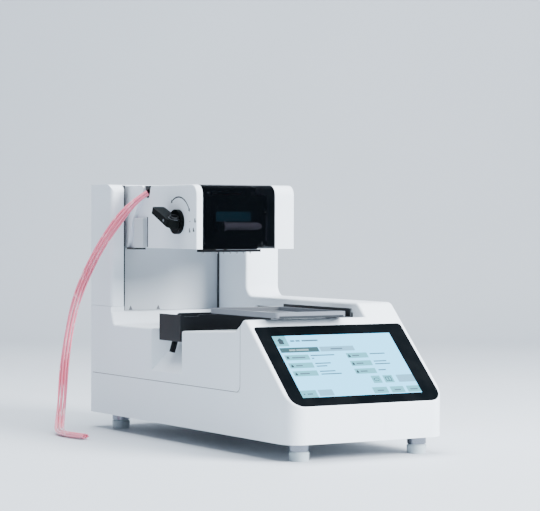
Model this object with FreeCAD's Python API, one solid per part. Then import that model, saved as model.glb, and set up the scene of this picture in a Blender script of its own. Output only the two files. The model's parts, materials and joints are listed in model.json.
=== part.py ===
import FreeCAD, Part
import math
import os

# Eight-channel reagent dispenser for microplates, in millimetres, +Z up.
# Places are counted from the left side (X), the front face (Y) and the bench (Z) while the pieces are made.
# Every finished piece is then moved so that the origin lies on the bench at the middle of the footprint.

V = FreeCAD.Vector

# Overall body
body_w = 203.0
body_d = 466.0
top_z = 297.0
belly_z = 19.0
wall = 3.0
seam = 0.4
front_corner_r = 20.0
rear_corner_r = 8.0
edge_r = 3.0

# Sloped front and its crest
fold_z = 58.2
slope_deg = 44.1
slope_wall = 5.0
crest_z = 146.5
crest_r = 7.0
crest_flat = 6.4
housing_back_y = 102.0
flank_drop = 4.5

# Raised ridge and column on the right
ridge_w = 47.2
ridge_x = body_w - ridge_w
ridge_top_z = 162.0
ridge_crest_r = 12.0
column_d = 116.0
column_y = body_d - column_d
column_foot_r = 14.0
column_brow_r = 10.0

# Deck cover with the channel floor, the band at its back and the scoop in its left side
skirt_z = 67.5
deck_front_y = 113.0
deck_front_z = 134.0
deck_z = 128.0
band_top_z = 144.0
band_rise = 5.6
scoop_front_gap = 5.0
scoop_back_gap = 4.0
scoop_run = 17.0
scoop_depth = 27.0
scoop_step_z = 114.0
scoop_low_z = 79.0

# Left column, and the spine between the columns
left_column_w = 18.0
left_column_d = 59.0
left_column_y = body_d - left_column_d
left_column_joint_z = 149.7
left_column_r = 5.0
spine_d = 48.0
spine_y = body_d - spine_d
band_top_y = left_column_y - 0.4
band_y = band_top_y - band_rise
spine_gap = 0.5
vent_w = 3.2
vent_h = 52.0
vent_pitch = 9.0
vent_count = 11

# Feet
foot_x = 25.3
foot_front_y = 22.0
foot_rear_y = body_d - 37.7
foot_pad_r = 11.0
foot_pad_low_r = 10.2
foot_pad_h = 10.2
foot_collar_r = 10.6

# Display
glass_margin = 5.2
glass_low = 1.5
glass_h = 115.0
glass_t = 2.2
glass_sink = 0.1
glass_gap = 0.2
glass_low_r = 15.0
glass_top_r = 4.0
panel_x = body_w / 2 - 2.1
panel_w = 160.0
panel_low = 9.5
panel_h = 97.0
panel_t = 7.0

# Electronics in the base
plate_t = 2.0
board_t = 1.6
board_gap = 6.0
supply_l = 110.0
supply_y1 = body_d - 26.0
board_l = 140.0
board_x0 = 15.0
board_x1 = ridge_x - 15.8
board_y1 = supply_y1 - supply_l - 40.0
inlet_x = body_w - 37.0
inlet_z = 43.0
inlet_w = 30.0
inlet_h = 23.0
socket_w = 24.0
socket_h = 16.0
socket_deep = 15.0
switch_x = body_w - 71.0
switch_w = 20.0
switch_h = 13.0
rocker_pin_r = 1.5
port_x = body_w - 103.0
port_w = 15.0
port_h = 14.0

# Plate tray and its drive
tray_x = 70.3
tray_y = 139.8
tray_w = 91.5
tray_l = 142.5
tray_corner_r = 4.0
tray_floor_z = 150.5
tray_floor_t = 1.4
tray_rim_h = 4.5
tray_travel = 162.0
plate_w = 85.48
plate_l = 127.76
plate_play = 0.5
under_t = 0.8
flange_x1 = 124.0
flange_t = 2.0
flange_h = 9.6
arm_t = 3.0
arm_lead = 21.8
arm_l = 44.0
arm_y0 = tray_y - arm_lead
slot_clear = 3.0
rail_x = ridge_x + 18.2
rail_w = 12.0
rail_h = 8.0
rail_end_gap = 2.0
frame_y0 = arm_y0 - 26.0
frame_t = 3.0
frame_x0 = ridge_x + 5.2
slider_w = 27.0
run_gap = 0.05
belt_x0 = body_w - 13.5
frame_x1 = belt_x0 - 1.0
belt_w = 6.0
belt_t = 1.4
belt_gap = 0.3
tray_pulley_r = 7.5
pulley_z = 137.5
pulley_front_y = arm_y0 - 10.0
pulley_rear_y = arm_y0 + arm_l + tray_travel + 28.0
pulley_axle_r = 2.5
stepper_side = 35.0
stepper_len = 26.0

# Priming trough
trough_w = 50.0
trough_lead = 15.5
trough_x1 = 122.0
trough_top_z = 146.3
trough_notch = 2.0
trough_wall = 2.2
trough_seat = 0.1
drain_block_w = 21.0
drain_block_z = 115.5
spout_r = 3.5
spout_bore_r = 2.3
spout_len = 14.0
spout_tilt_deg = 17.0
spout_x = 11.0
spout_set = 30.0

# Pump head
head_x0 = 24.0
head_depth = 177.0
head_y0 = spine_y - head_depth
head_h = 74.5
head_z1 = top_z - 1.5
head_z0 = head_z1 - head_h
head_r = 12.0
bay_x0 = 32.3
bay_x1 = ridge_x - 25.7
side_back_y = spine_y - 60.5
guide_y0 = side_back_y + 2.5
guide_floor_x = 29.0
guide_block_l = 23.9
guide_block_y0 = guide_y0 + 10.6
guide_block_y1 = guide_block_y0 + guide_block_l
guide_block_z = head_z0 + 36.0
gasket_t = 2.4

# Door over the cassette bay
door_t = 2.6
door_gap = 0.4
door_axis_y = head_y0 + 47.0
door_axis_z = head_z1 - 3.7
door_barrel_r = 3.4
door_pin_r = 1.2
door_pin_l = 7.0

# Cassette with the nozzles
cassette_x0 = 34.0
cassette_x1 = bay_x1 - 3.1
cassette_y0 = head_y0 + 13.0
cassette_y1 = cassette_y0 + 8.0
cassette_z0 = head_z0 + 5.0
cassette_z1 = head_z1 - 11.5
channels = 8
channel_pitch = 9.0
channel_x = 71.0
nozzle_y = head_y0 + 10.5
nozzle_bar_x0 = 34.5
nozzle_bar_x1 = 113.0
nozzle_bar_y0 = nozzle_y - 6.5
nozzle_bar_w = 13.0
nozzle_bar_z = head_z0 - 3.4
nozzle_lip_z = head_z0 - 0.3
nozzle_tip_z = nozzle_bar_z - 2.0
nozzle_r = 0.9
handle_x0 = 64.5
handle_x1 = cassette_x1 - 11.0
handle_z = cassette_z0 + 21.4
handle_r = 4.4
socket_block_w = 8.0

# Pump rotor and its drive
rotor_y = head_y0 + 65.0
rotor_z = head_z1 - 38.5
cable_x0 = 60.0
cable_x1 = bay_x1 - 20.1
cable_z0 = rotor_z - 17.0
cable_z1 = rotor_z + 23.0
shaft_r = 4.0
rotor_x0 = 37.0
rotor_x1 = bay_x1 - 4.5
rotor_flange_t = 3.0
rotor_flange_r = 24.0
rollers = 6
roller_r = 5.0
roller_pitch_r = 20.0
roller_axle_r = 1.5
roller_end_gap = 0.4
bearing_plate_t = 4.0
bearing_left_x = 28.4
bearing_right_x = bay_x1 + 0.5
bearing_y0 = rotor_y - 38.0
bearing_y1 = spine_y - 10.0
bearing_r = 8.0
bearing_fit = 0.02
bulkhead_y = rotor_y + 35.0
bulkhead_t = 4.0
pump_pulley_x = bearing_right_x + 7.4
pump_pulley_w = 9.0
pump_belt_w = 7.0
rotor_pulley_r = 18.0
motor_pulley_r = 9.0
motor_y = bulkhead_y + 35.0
motor_side = 56.4
motor_chamfer = 5.0
motor_len = 62.0
motor_pilot_r = 11.0
motor_shaft_r = 3.175

# Pump tubes between rotor and platen
tube_r = 1.5
tube_gap = 0.2
platen_gap = 0.6
rod_rib = 2.7
tube_leave_deg = 20.0
tube_bend_r = 8.0
tube_drop = 8.0

# Clamp
lever_y = rotor_y - 23.0
lever_z = rotor_z - 4.6
lever_hub_r = 14.4
lever_hub_x0 = 19.0
lever_arm_x0 = 3.2
lever_front = 14.2
lever_gap = 0.3
lever_shaft_r = 5.0
lever_arm = 30.8
lever_rise_deg = 20.0
cam_throw = 2.0
cam_pin_r = 2.0
cam_pin_gap = 0.3
cam_start_deg = 35.0
platen_x0 = 33.4
platen_x1 = bay_x1 - 4.1
platen_y0 = rotor_y - 40.4
platen_z0 = rotor_z - 11.0
platen_z1 = rotor_z + 17.0
platen_tab_t = 2.0
guide_rod_r = 2.0
rod_rise = 2.2
guide_rod_y0 = platen_y0 - 2.6
guide_rod_xs = (53.0, bay_x1 - 18.1)
lug_w = 12.0
lug_y1 = platen_y0 + 10.4

# Tube outlet in the head's side, and the loose tube bundle that leaves it
outlet_y = guide_y0 - 2.0
outlet_z = head_z1 - 8.5
outlet_r = 4.2
bundle_r = 3.6
bundle_route = [
    (23.6, 358.0, 287.0),
    (9.0, 366.0, 276.0),
    (-5.0, 382.0, 252.0),
    (-19.0, 399.0, 222.0),
    (-31.0, 413.0, 188.0),
    (-40.0, 424.0, 152.0),
    (-45.0, 431.0, 114.0),
    (-49.0, 434.0, 78.0),
    (-53.0, 431.0, 45.0),
    (-62.0, 418.0, 17.0),
    (-77.0, 391.0, 3.9),
    (-83.0, 357.0, 3.9),
    (-75.0, 325.0, 3.9),
]

# Values that follow from the sizes above
slope = math.radians(slope_deg)
slope_tan = math.tan(slope)
crest_y = (crest_z - fold_z) / slope_tan
ridge_crest_y = (ridge_top_z - fold_z) / slope_tan
deck_x1 = ridge_x - seam
deck_y0 = housing_back_y + seam
head_x1 = ridge_x
head_y1 = spine_y
head_wall_in = head_z1 - wall
floor_top_z = head_z0 + 2.5
tray_under_z = tray_floor_z - tray_floor_t - under_t
arm_z0 = tray_under_z - arm_t
rail_z = arm_z0 - 17.3
frame_y1 = pulley_rear_y + stepper_side / 2 + 4.0
nozzle_x0 = channel_x - channel_pitch * (channels - 1) / 2
handle_y = cassette_y0 - handle_r
tube_track_r = roller_pitch_r + roller_r + tube_gap + tube_r
platen_r = tube_track_r + tube_r + platen_gap
guide_rod_z = rotor_z + tube_track_r + rod_rise
trough_y0 = nozzle_y - trough_lead
trough_y1 = trough_y0 + trough_w
spout_y = trough_y0 + spout_set
scoop_y0 = trough_y0 - scoop_front_gap
scoop_y1 = trough_y1 + scoop_back_gap
deck_flat_y = trough_y0


def box(x0, x1, y0, y1, z0, z1):
    return Part.makeBox(x1 - x0, y1 - y0, z1 - z0, V(x0, y0, z0))


def rod(start, end, radius):
    """A round bar between two points."""
    a = V(*start)
    b = V(*end)
    return Part.makeCylinder(radius, (b - a).Length, a, b - a)


def rod_x(x0, x1, y, z, radius):
    return rod((x0, y, z), (x1, y, z), radius)


def outline(points, place):
    """A closed wire through (u, v) or (u, v, corner radius) points, with round corners as tangent arcs."""
    corners = []
    count = len(points)
    for i in range(count):
        point = points[i]
        radius = point[2] if len(point) > 2 else 0.0
        here = V(point[0], point[1], 0)
        back = V(points[i - 1][0], points[i - 1][1], 0) - here
        onward = V(points[(i + 1) % count][0], points[(i + 1) % count][1], 0) - here
        back.normalize()
        onward.normalize()
        if radius <= 0.0:
            corners.append((here, None, here))
            continue
        half = back.getAngle(onward) / 2
        run = radius / math.tan(half)
        middle = back + onward
        middle.normalize()
        tip = here + middle * (radius / math.sin(half) - radius)
        corners.append((here + back * run, tip, here + onward * run))
    edges = []
    for i in range(count):
        start, tip, end = corners[i]
        if tip is not None:
            edges.append(Part.Arc(place(start), place(tip), place(end)).toShape())
        following = corners[(i + 1) % count][0]
        if (following - end).Length > 1e-6:
            edges.append(Part.LineSegment(place(end), place(following)).toShape())
    return Part.Wire(edges)


def side_plate(points, x0, x1):
    """A side profile of (Y, Z) points, drawn out along X."""
    wire = outline(points, lambda p: V(x0, p.x, p.y))
    return Part.Face(wire).extrude(V(x1 - x0, 0, 0))


def front_plate(points, y0, y1):
    """A front profile of (X, Z) points, drawn out along Y."""
    wire = outline(points, lambda p: V(p.x, y0, p.y))
    return Part.Face(wire).extrude(V(0, y1 - y0, 0))


def flat_plate(points, z0, z1):
    """A plan of (X, Y) points, drawn out along Z."""
    wire = outline(points, lambda p: V(p.x, p.y, z0))
    return Part.Face(wire).extrude(V(0, 0, z1 - z0))


def rounded_plan(x0, x1, y0, y1, front_r, rear_r, z0, z1):
    corners = [(x0, y0, front_r), (x1, y0, front_r), (x1, y1, rear_r), (x0, y1, rear_r)]
    return flat_plate(corners, z0, z1)


def slope_point(x, along, up=0.0):
    """A point on the sloped front, counted from its lower fold and lifted off it by up."""
    y = along * math.cos(slope) - up * math.sin(slope)
    z = fold_z + along * math.sin(slope) + up * math.cos(slope)
    return V(x, y, z)


def slope_plate(points, low, high):
    """A plate parallel to the sloped front, from (X, along) points, between two heights above it."""
    wire = outline(points, lambda p: slope_point(p.x, p.y, low))
    lift = slope_point(0, 0, high) - slope_point(0, 0, low)
    return Part.Face(wire).extrude(lift)


def slope_y(z, depth=0.0):
    """Where a plane at this depth below the sloped front reaches the height z."""
    return (z - fold_z + depth / math.cos(slope)) / slope_tan


def on_plane(edge, axis, value):
    """True where an edge lies in the plane at this value of X, Y or Z."""
    b = edge.BoundBox
    low = (b.XMin, b.YMin, b.ZMin)[axis]
    high = (b.XMax, b.YMax, b.ZMax)[axis]
    return abs(low - value) < 0.02 and abs(high - value) < 0.02


def rounded(shape, radius, test):
    """The shape with the edges that pass the test rounded."""
    return shape.makeFillet(radius, [edge for edge in shape.Edges if test(edge)])


def group(shapes):
    """Several separate solids as one piece."""
    return Part.makeCompound(shapes)


def belt_loop(x0, x1, first, first_r, second, second_r, thick):
    """A flat belt round two pulleys whose centres are (Y, Z) points."""
    def hull(grow):
        r1 = first_r + grow
        r2 = second_r + grow
        dy = second[0] - first[0]
        dz = second[1] - first[1]
        reach = math.hypot(dy, dz)
        heading = math.atan2(dz, dy)
        lean = math.acos((r1 - r2) / reach)
        up = heading + lean
        down = heading - lean

        def at(centre, radius, angle):
            return (centre[0] + radius * math.cos(angle), centre[1] + radius * math.sin(angle))

        middle = side_plate([at(first, r1, up), at(first, r1, down), at(second, r2, down), at(second, r2, up)],
                            x0, x1)
        ends = [rod_x(x0, x1, first[0], first[1], r1), rod_x(x0, x1, second[0], second[1], r2)]
        return middle.fuse(ends).removeSplitter()
    return hull(thick).cut(hull(0.0))


# Base housing: front, skirt, ridge and right column in one moulding

def housing_outer():
    low = side_plate([
        (0, belly_z),
        (0, fold_z),
        (crest_y, crest_z, crest_r),
        (crest_y + crest_flat, crest_z, flank_drop),
        (housing_back_y, crest_z - flank_drop),
        (housing_back_y, skirt_z),
        (body_d, skirt_z),
        (body_d, belly_z),
    ], 0, body_w)
    ridge = side_plate([
        (0, belly_z),
        (0, fold_z),
        (ridge_crest_y, ridge_top_z, ridge_crest_r),
        (column_y, ridge_top_z, column_foot_r),
        (column_y, top_z, column_brow_r),
        (body_d, top_z),
        (body_d, belly_z),
    ], ridge_x, body_w)
    plan = rounded_plan(0, body_w, 0, body_d, front_corner_r, rear_corner_r, belly_z, top_z)
    whole = low.fuse(ridge).removeSplitter().common(plan)

    def outer_edge(edge):
        b = edge.BoundBox
        if b.ZMin < fold_z - 0.05 or b.YMin > body_d - rear_corner_r - 0.5:
            return False
        left = on_plane(edge, 0, 0.0) and b.YMax < housing_back_y - 0.01
        corner = b.YMax < front_corner_r + 0.1 and b.ZMax > fold_z + 1.0
        fold = on_plane(edge, 1, 0.0) and on_plane(edge, 2, fold_z)
        return left or corner or fold or on_plane(edge, 0, body_w)

    def ridge_edge(edge):
        b = edge.BoundBox
        return on_plane(edge, 0, ridge_x) and b.ZMin > crest_z + 5 and b.YMax < body_d - 2

    return rounded(rounded(whole, edge_r, ridge_edge), edge_r, outer_edge)


def housing_inside():
    """The room inside the base housing, open below and, behind the front, above the skirt."""
    low_z = belly_z - 1.0
    front = side_plate([
        (wall, low_z),
        (wall, fold_z + wall * slope_tan - slope_wall / math.cos(slope)),
        (slope_y(crest_z - slope_wall, slope_wall), crest_z - slope_wall),
        (housing_back_y - wall, crest_z - slope_wall - 1.5),
        (housing_back_y - wall, low_z),
    ], wall, body_w - wall)
    skirt = box(wall, body_w - wall, wall, body_d - wall, low_z, skirt_z - wall)
    open_top = box(wall, ridge_x - 1.0, housing_back_y + 1.0, body_d - wall, skirt_z - wall - 1.0, skirt_z + 1.0)
    ridge = side_plate([
        (wall + 20.0, low_z),
        (slope_y(skirt_z, slope_wall) + 20.0, skirt_z),
        (slope_y(ridge_top_z - wall, slope_wall), ridge_top_z - wall),
        (column_y + wall, ridge_top_z - wall),
        (column_y + wall, top_z - wall),
        (body_d - wall, top_z - wall),
        (body_d - wall, low_z),
    ], ridge_x + wall, body_w - wall)
    plan = rounded_plan(wall, body_w - wall, wall, body_d - wall,
                        front_corner_r - wall, rear_corner_r - wall, low_z, top_z)
    return front.fuse([skirt, open_top, ridge]).common(plan)


def arm_slot():
    """The long slot in the ridge's inner wall that the tray's arm runs in."""
    return box(ridge_x - 1.0, ridge_x + wall + 1.0, arm_y0 - slot_clear, arm_y0 + arm_l + tray_travel + slot_clear,
               arm_z0 - slot_clear, tray_under_z + slot_clear)


def glass_outline(grow):
    x0 = glass_margin - grow
    x1 = body_w - glass_margin + grow
    return [
        (x0, glass_low - grow, glass_low_r + grow),
        (x1, glass_low - grow, glass_low_r + grow),
        (x1, glass_low + glass_h + grow, glass_top_r + grow),
        (x0, glass_low + glass_h + grow, glass_top_r + grow),
    ]


def panel_outline(grow):
    x0 = panel_x - panel_w / 2 - grow
    x1 = panel_x + panel_w / 2 + grow
    low = panel_low - grow
    high = panel_low + panel_h + grow
    return [(x0, low), (x1, low), (x1, high), (x0, high)]


def rear_holes():
    """The openings for inlet, switch and data port in the rear of the skirt."""
    y0 = body_d - wall - 1.0
    y1 = body_d + 1.0
    return [
        box(inlet_x - inlet_w / 2, inlet_x + inlet_w / 2, y0, y1, inlet_z - inlet_h / 2, inlet_z + inlet_h / 2),
        box(switch_x - switch_w / 2, switch_x + switch_w / 2, y0, y1,
            inlet_z - switch_h / 2, inlet_z + switch_h / 2),
        box(port_x - port_w / 2, port_x + port_w / 2, y0, y1, inlet_z - port_h / 2, inlet_z + port_h / 2),
    ]


def base_housing():
    pocket = slope_plate(glass_outline(glass_gap), -glass_t - glass_sink, 6.0)
    window = slope_plate(panel_outline(seam), -slope_wall - 3.0, 0.0)
    return housing_outer().cut([housing_inside(), pocket, window, arm_slot()] + rear_holes())


def base_plate():
    gap = 0.3
    plan = rounded_plan(wall + gap, body_w - wall - gap, wall + gap, body_d - wall - gap,
                        front_corner_r - wall, rear_corner_r - wall, belly_z, belly_z + plate_t)
    slots = []
    for i in range(6):
        y = body_d - 166.0 + 12.0 * i
        slots.append(box(body_w - 88.0, body_w - 53.0, y, y + 4.0, belly_z - 1, belly_z + plate_t + 1))
    return plan.cut(slots)


def foot_places():
    xs = (foot_x, body_w - foot_x)
    ys = (foot_front_y, foot_rear_y)
    return [(x, y) for x in xs for y in ys]


def foot_collars():
    collars = []
    for x, y in foot_places():
        neck_z = foot_pad_h + 0.9
        neck = Part.makeCylinder(foot_collar_r - 1.4, 1.0, V(x, y, foot_pad_h), V(0, 0, 1))
        ring = Part.makeCylinder(foot_collar_r, belly_z - neck_z, V(x, y, neck_z), V(0, 0, 1))
        collars.append(neck.fuse(ring).removeSplitter())
    return group(collars)


def foot_pads():
    pads = []
    for x, y in foot_places():
        low = Part.makeCone(foot_pad_low_r, foot_pad_r, foot_pad_h - 1.5, V(x, y, 0), V(0, 0, 1))
        top = Part.makeCone(foot_pad_r, foot_pad_r - 1.2, 1.5, V(x, y, foot_pad_h - 1.5), V(0, 0, 1))
        pads.append(low.fuse(top).removeSplitter())
    return group(pads)


# Display

def display_glass():
    return slope_plate(glass_outline(0.0), -glass_t - glass_sink, -glass_sink)


def display_module():
    low = -glass_t - glass_sink - panel_t
    frame = slope_plate(panel_outline(0.0), low, -glass_t - glass_sink)
    x0 = panel_x - panel_w / 4
    board = slope_plate([(x0, panel_low + 12), (x0 + panel_w / 2, panel_low + 12),
                         (x0 + panel_w / 2, panel_low + panel_h - 12), (x0, panel_low + panel_h - 12)],
                        low - board_t - 2.0, low)
    return frame.fuse(board).removeSplitter()


# Deck cover: channel floor, band, foot of the left column and the left side with its scoop

def scoop(grow):
    """The hollow scooped out of the deck cover's left side, with a sharp front wall and a soft back."""
    depth = scoop_depth + grow
    fall = (scoop_step_z - scoop_low_z) / scoop_depth
    out = -6.0
    side = front_plate([
        (out, top_z / 2 + 10),
        (depth, top_z / 2 + 10),
        (depth, scoop_step_z, 22.0),
        (out, scoop_step_z - fall * (depth - out)),
    ], scoop_y0 - grow, scoop_y1 + scoop_run + grow + 5)
    plan = flat_plate([
        (out, scoop_y0 - grow),
        (depth, scoop_y0 - grow, 3.0),
        (depth, scoop_y1 + grow, 16.0),
        (out, scoop_y1 + grow + scoop_run),
    ], scoop_low_z - 25, top_z / 2 + 10)
    return side.common(plan)


def deck_profile():
    return [
        (deck_y0, skirt_z + seam),
        (deck_y0, crest_z - flank_drop - seam),
        (deck_front_y, deck_front_z, 9.0),
        (deck_flat_y, deck_z, 60.0),
        (band_y, deck_z, 6.0),
        (band_top_y, band_top_z, 3.0),
        (body_d, band_top_z),
        (body_d, skirt_z + seam),
    ]


def deck_cover():
    z0 = skirt_z + seam

    def side_edge(edge):
        return on_plane(edge, 0, 0.0) and edge.BoundBox.ZMin > deck_z - 0.1

    body = rounded(side_plate(deck_profile(), 0, deck_x1), 2.5, side_edge)
    column_foot = box(0, left_column_w, left_column_y, body_d, band_top_z - 8, left_column_joint_z)
    plan = rounded_plan(0, deck_x1 + 40, 0, body_d, 0, rear_corner_r, z0, top_z)
    outer = body.fuse(column_foot).removeSplitter().common(plan)
    room = side_plate([
        (deck_y0 + wall, z0 - 1),
        (deck_y0 + wall, deck_front_z - 0.5),
        (deck_front_y, deck_front_z - wall),
        (deck_flat_y, deck_z - wall),
        (band_y + wall, deck_z - wall),
        (band_top_y + wall, band_top_z - wall),
        (body_d - wall, band_top_z - wall),
        (body_d - wall, z0 - 1),
    ], wall, deck_x1 - wall)
    room = room.cut(scoop(wall))
    return outer.cut([room, scoop(0.0)])


# Left column, spine and rear cover

def left_column_cover():
    z0 = left_column_joint_z + 0.3
    plan = flat_plate([
        (0, left_column_y, left_column_r),
        (left_column_w, left_column_y, 1.5),
        (left_column_w, body_d),
        (0, body_d, rear_corner_r),
    ], z0, top_z)
    side = side_plate([
        (left_column_y, z0),
        (left_column_y, top_z, column_brow_r),
        (body_d, top_z),
        (body_d, z0),
    ], 0, left_column_w)
    room = box(wall, left_column_w - wall, left_column_y + wall, body_d - wall, z0 - 1, top_z - wall)
    return plan.common(side).cut(room)


def spine_housing():
    x0 = left_column_w + spine_gap
    x1 = ridge_x - spine_gap
    z0 = band_top_z + 0.3
    shell = box(x0, x1, spine_y, body_d, z0, top_z)
    room = box(x0 + wall, x1 - wall, spine_y + wall, body_d + 1, z0 - 1, top_z - wall)
    cable_hole = box(cable_x0, cable_x1, spine_y - 1, spine_y + wall + 1, cable_z0, cable_z1)
    return shell.cut([room, cable_hole])


def rear_cover():
    x0 = left_column_w + spine_gap + wall + seam
    x1 = ridge_x - spine_gap - wall - seam
    z0 = band_top_z + 1.0
    z1 = top_z - wall - seam
    sheet = box(x0, x1, body_d - wall, body_d, z0, z1)
    middle = (x0 + x1) / 2
    slots = []
    for i in range(vent_count):
        x = middle + (i - (vent_count - 1) / 2) * vent_pitch
        slots.append(box(x - vent_w / 2, x + vent_w / 2, body_d - wall - 1, body_d + 1,
                         z1 - 20 - vent_h, z1 - 20))
    return sheet.cut(slots)


# Electronics in the base

def main_board():
    z0 = belly_z + plate_t
    y0 = board_y1 - board_l
    board = box(board_x0, board_x1, y0, board_y1, z0 + board_gap, z0 + board_gap + board_t)
    posts = []
    for x in (board_x0 + 5.0, board_x1 - 5.0):
        for y in (y0 + 5.0, board_y1 - 5.0):
            posts.append(Part.makeCylinder(3.0, board_gap, V(x, y, z0), V(0, 0, 1)))
    blocks = [
        box(board_x0 + 25, board_x0 + 47, y0 + 30, y0 + 52, z0 + board_gap + board_t,
            z0 + board_gap + board_t + 3),
        box(board_x1 - 50, board_x1 - 10, y0 + 65, y0 + 90, z0 + board_gap + board_t,
            z0 + board_gap + board_t + 12),
    ]
    return board.fuse(posts + blocks).removeSplitter()


def power_supply():
    z0 = belly_z + plate_t
    cage = box(12.0, 92.0, supply_y1 - supply_l, supply_y1, z0, z0 + 36.0)
    slots = []
    for i in range(7):
        y = supply_y1 - supply_l + 15.0 + 12.0 * i
        slots.append(box(22.0, 82.0, y, y + 3.0, z0 + 34.5, z0 + 40.0))
    return cage.cut(slots)


def power_inlet():
    """The mains socket, flush with the rear, with its open mouth."""
    gap = 0.2
    y1 = body_d
    y0 = y1 - wall - socket_deep - 3.0
    body = box(inlet_x - inlet_w / 2 + gap, inlet_x + inlet_w / 2 - gap, y0, y1,
               inlet_z - inlet_h / 2 + gap, inlet_z + inlet_h / 2 - gap)
    mouth = front_plate([
        (inlet_x - socket_w / 2, inlet_z - socket_h / 2, 1.0),
        (inlet_x + socket_w / 2, inlet_z - socket_h / 2, 1.0),
        (inlet_x + socket_w / 2, inlet_z + socket_h / 2 - 5),
        (inlet_x + socket_w / 2 - 5, inlet_z + socket_h / 2),
        (inlet_x - socket_w / 2 + 5, inlet_z + socket_h / 2),
        (inlet_x - socket_w / 2, inlet_z + socket_h / 2 - 5),
    ], y1 - socket_deep, y1 + 1)
    return body.cut(mouth)


def switch_frame():
    gap = 0.2
    y0 = body_d - 14.0
    body = box(switch_x - switch_w / 2 + gap, switch_x + switch_w / 2 - gap, y0, body_d,
               inlet_z - switch_h / 2 + gap, inlet_z + switch_h / 2 - gap)
    room = box(switch_x - switch_w / 2 + 1, switch_x + switch_w / 2 - 1, y0 + 2, body_d + 1,
               inlet_z - switch_h / 2 + 1.6, inlet_z + switch_h / 2 - 1.6)
    pin = rod((switch_x, body_d - 6.0, inlet_z - switch_h / 2 + 1), (switch_x, body_d - 6.0, inlet_z + switch_h / 2 - 1),
              rocker_pin_r)
    return body.cut(room).fuse(pin).removeSplitter()


def power_switch():
    """The rocker, a low wedge on an upright pin, at rest with its right half pressed."""
    half = switch_w / 2 - 2.8
    z0 = inlet_z - switch_h / 2 + 2.1
    z1 = inlet_z + switch_h / 2 - 2.1
    back = body_d - 9.5
    body = flat_plate([
        (switch_x - half, body_d - 5.0),
        (switch_x - half, body_d - 1.0),
        (switch_x, body_d - 2.6),
        (switch_x + half, body_d - 4.2),
        (switch_x + half - 1.0, body_d - 6.6),
        (switch_x + 2.6, back),
        (switch_x - 2.6, back),
    ], z0, z1)
    bore = rod((switch_x, body_d - 6.0, z0 - 1), (switch_x, body_d - 6.0, z1 + 1), rocker_pin_r + run_gap)
    return body.cut(bore)


def data_port():
    gap = 0.2
    y0 = body_d - 18.0
    body = box(port_x - port_w / 2 + gap, port_x + port_w / 2 - gap, y0, body_d,
               inlet_z - port_h / 2 + gap, inlet_z + port_h / 2 - gap)
    mouth = box(port_x - port_w / 2 + 2.5, port_x + port_w / 2 - 2.5, body_d - 12, body_d + 1,
                inlet_z - port_h / 2 + 2.5, inlet_z + port_h / 2 - 2.5)
    return body.cut(mouth)


# Tray drive inside the ridge

def drive_frame():
    top = box(frame_x0, frame_x1, frame_y0, frame_y1, rail_z - frame_t, rail_z)
    notch = box(frame_x0 - 1, belt_x0 - 3.0, pulley_rear_y - stepper_side / 2 - 2.0, frame_y1 - 3.0,
                rail_z - frame_t - 1, rail_z + 1)
    legs = [
        box(frame_x0, frame_x1, frame_y0, frame_y0 + frame_t, belly_z + plate_t, rail_z),
        box(frame_x0, frame_x1, frame_y1 - frame_t, frame_y1, belly_z + plate_t, rail_z),
    ]
    cheek_x0 = belt_x0 - 3.0
    cheeks = [
        box(cheek_x0, cheek_x0 + 2.0, pulley_front_y - 6, pulley_front_y + 6, rail_z - frame_t, pulley_z + 8),
        box(cheek_x0, cheek_x0 + 2.0, pulley_rear_y - stepper_side / 2, pulley_rear_y + stepper_side / 2,
            rail_z - frame_t, pulley_z + stepper_side / 2),
    ]
    holes = [
        rod_x(cheek_x0 - 1, cheek_x0 + 3, pulley_front_y, pulley_z, pulley_axle_r + run_gap),
        rod_x(cheek_x0 - 1, cheek_x0 + 3, pulley_rear_y, pulley_z, pulley_axle_r + 4.0),
    ]
    return top.cut(notch).fuse(legs + cheeks).removeSplitter().cut(holes)


def linear_rail():
    y0 = frame_y0 + rail_end_gap
    y1 = pulley_rear_y - stepper_side / 2 - 4.0
    neck = rail_w / 2 - 1.5
    half = rail_w / 2
    return front_plate([
        (rail_x - half, rail_z),
        (rail_x + half, rail_z),
        (rail_x + half, rail_z + 2.5),
        (rail_x + neck, rail_z + 4.0),
        (rail_x + half, rail_z + 5.5),
        (rail_x + half, rail_z + rail_h),
        (rail_x - half, rail_z + rail_h),
        (rail_x - half, rail_z + 5.5),
        (rail_x - neck, rail_z + 4.0),
        (rail_x - half, rail_z + 2.5),
    ], y0, y1)


def tray_slider():
    """The carriage that runs on the rail, with its clip on the belt."""
    y0 = arm_y0
    y1 = arm_y0 + arm_l
    z0 = rail_z + 1.5
    block = box(rail_x - slider_w / 2, rail_x + slider_w / 2, y0, y1, z0, arm_z0)
    half = rail_w / 2 + 0.3
    neck = half - 1.5
    top = rail_z + rail_h + 0.3
    groove = front_plate([
        (rail_x - half, z0 - 1),
        (rail_x + half, z0 - 1),
        (rail_x + half, rail_z + 2.5),
        (rail_x + neck, rail_z + 4.0),
        (rail_x + half, rail_z + 5.5),
        (rail_x + half, top),
        (rail_x - half, top),
        (rail_x - half, rail_z + 5.5),
        (rail_x - neck, rail_z + 4.0),
        (rail_x - half, rail_z + 2.5),
    ], y0 - 1, y1 + 1)
    belt_top = pulley_z + tray_pulley_r + belt_gap + belt_t
    clip = box(rail_x + slider_w / 2 - 1, belt_x0 + belt_w - 1, y0 + 12, y1 - 12, belt_top + 0.3, belt_top + 2.3)
    stem = box(rail_x + slider_w / 2 - 1, rail_x + slider_w / 2 + 1.2, y0 + 12, y1 - 12, arm_z0 - 3, belt_top + 2.3)
    return block.cut(groove).fuse([clip, stem]).removeSplitter()


def drive_belt():
    r = tray_pulley_r + belt_gap
    return belt_loop(belt_x0, belt_x0 + belt_w, (pulley_front_y, pulley_z), r, (pulley_rear_y, pulley_z), r, belt_t)


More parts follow.
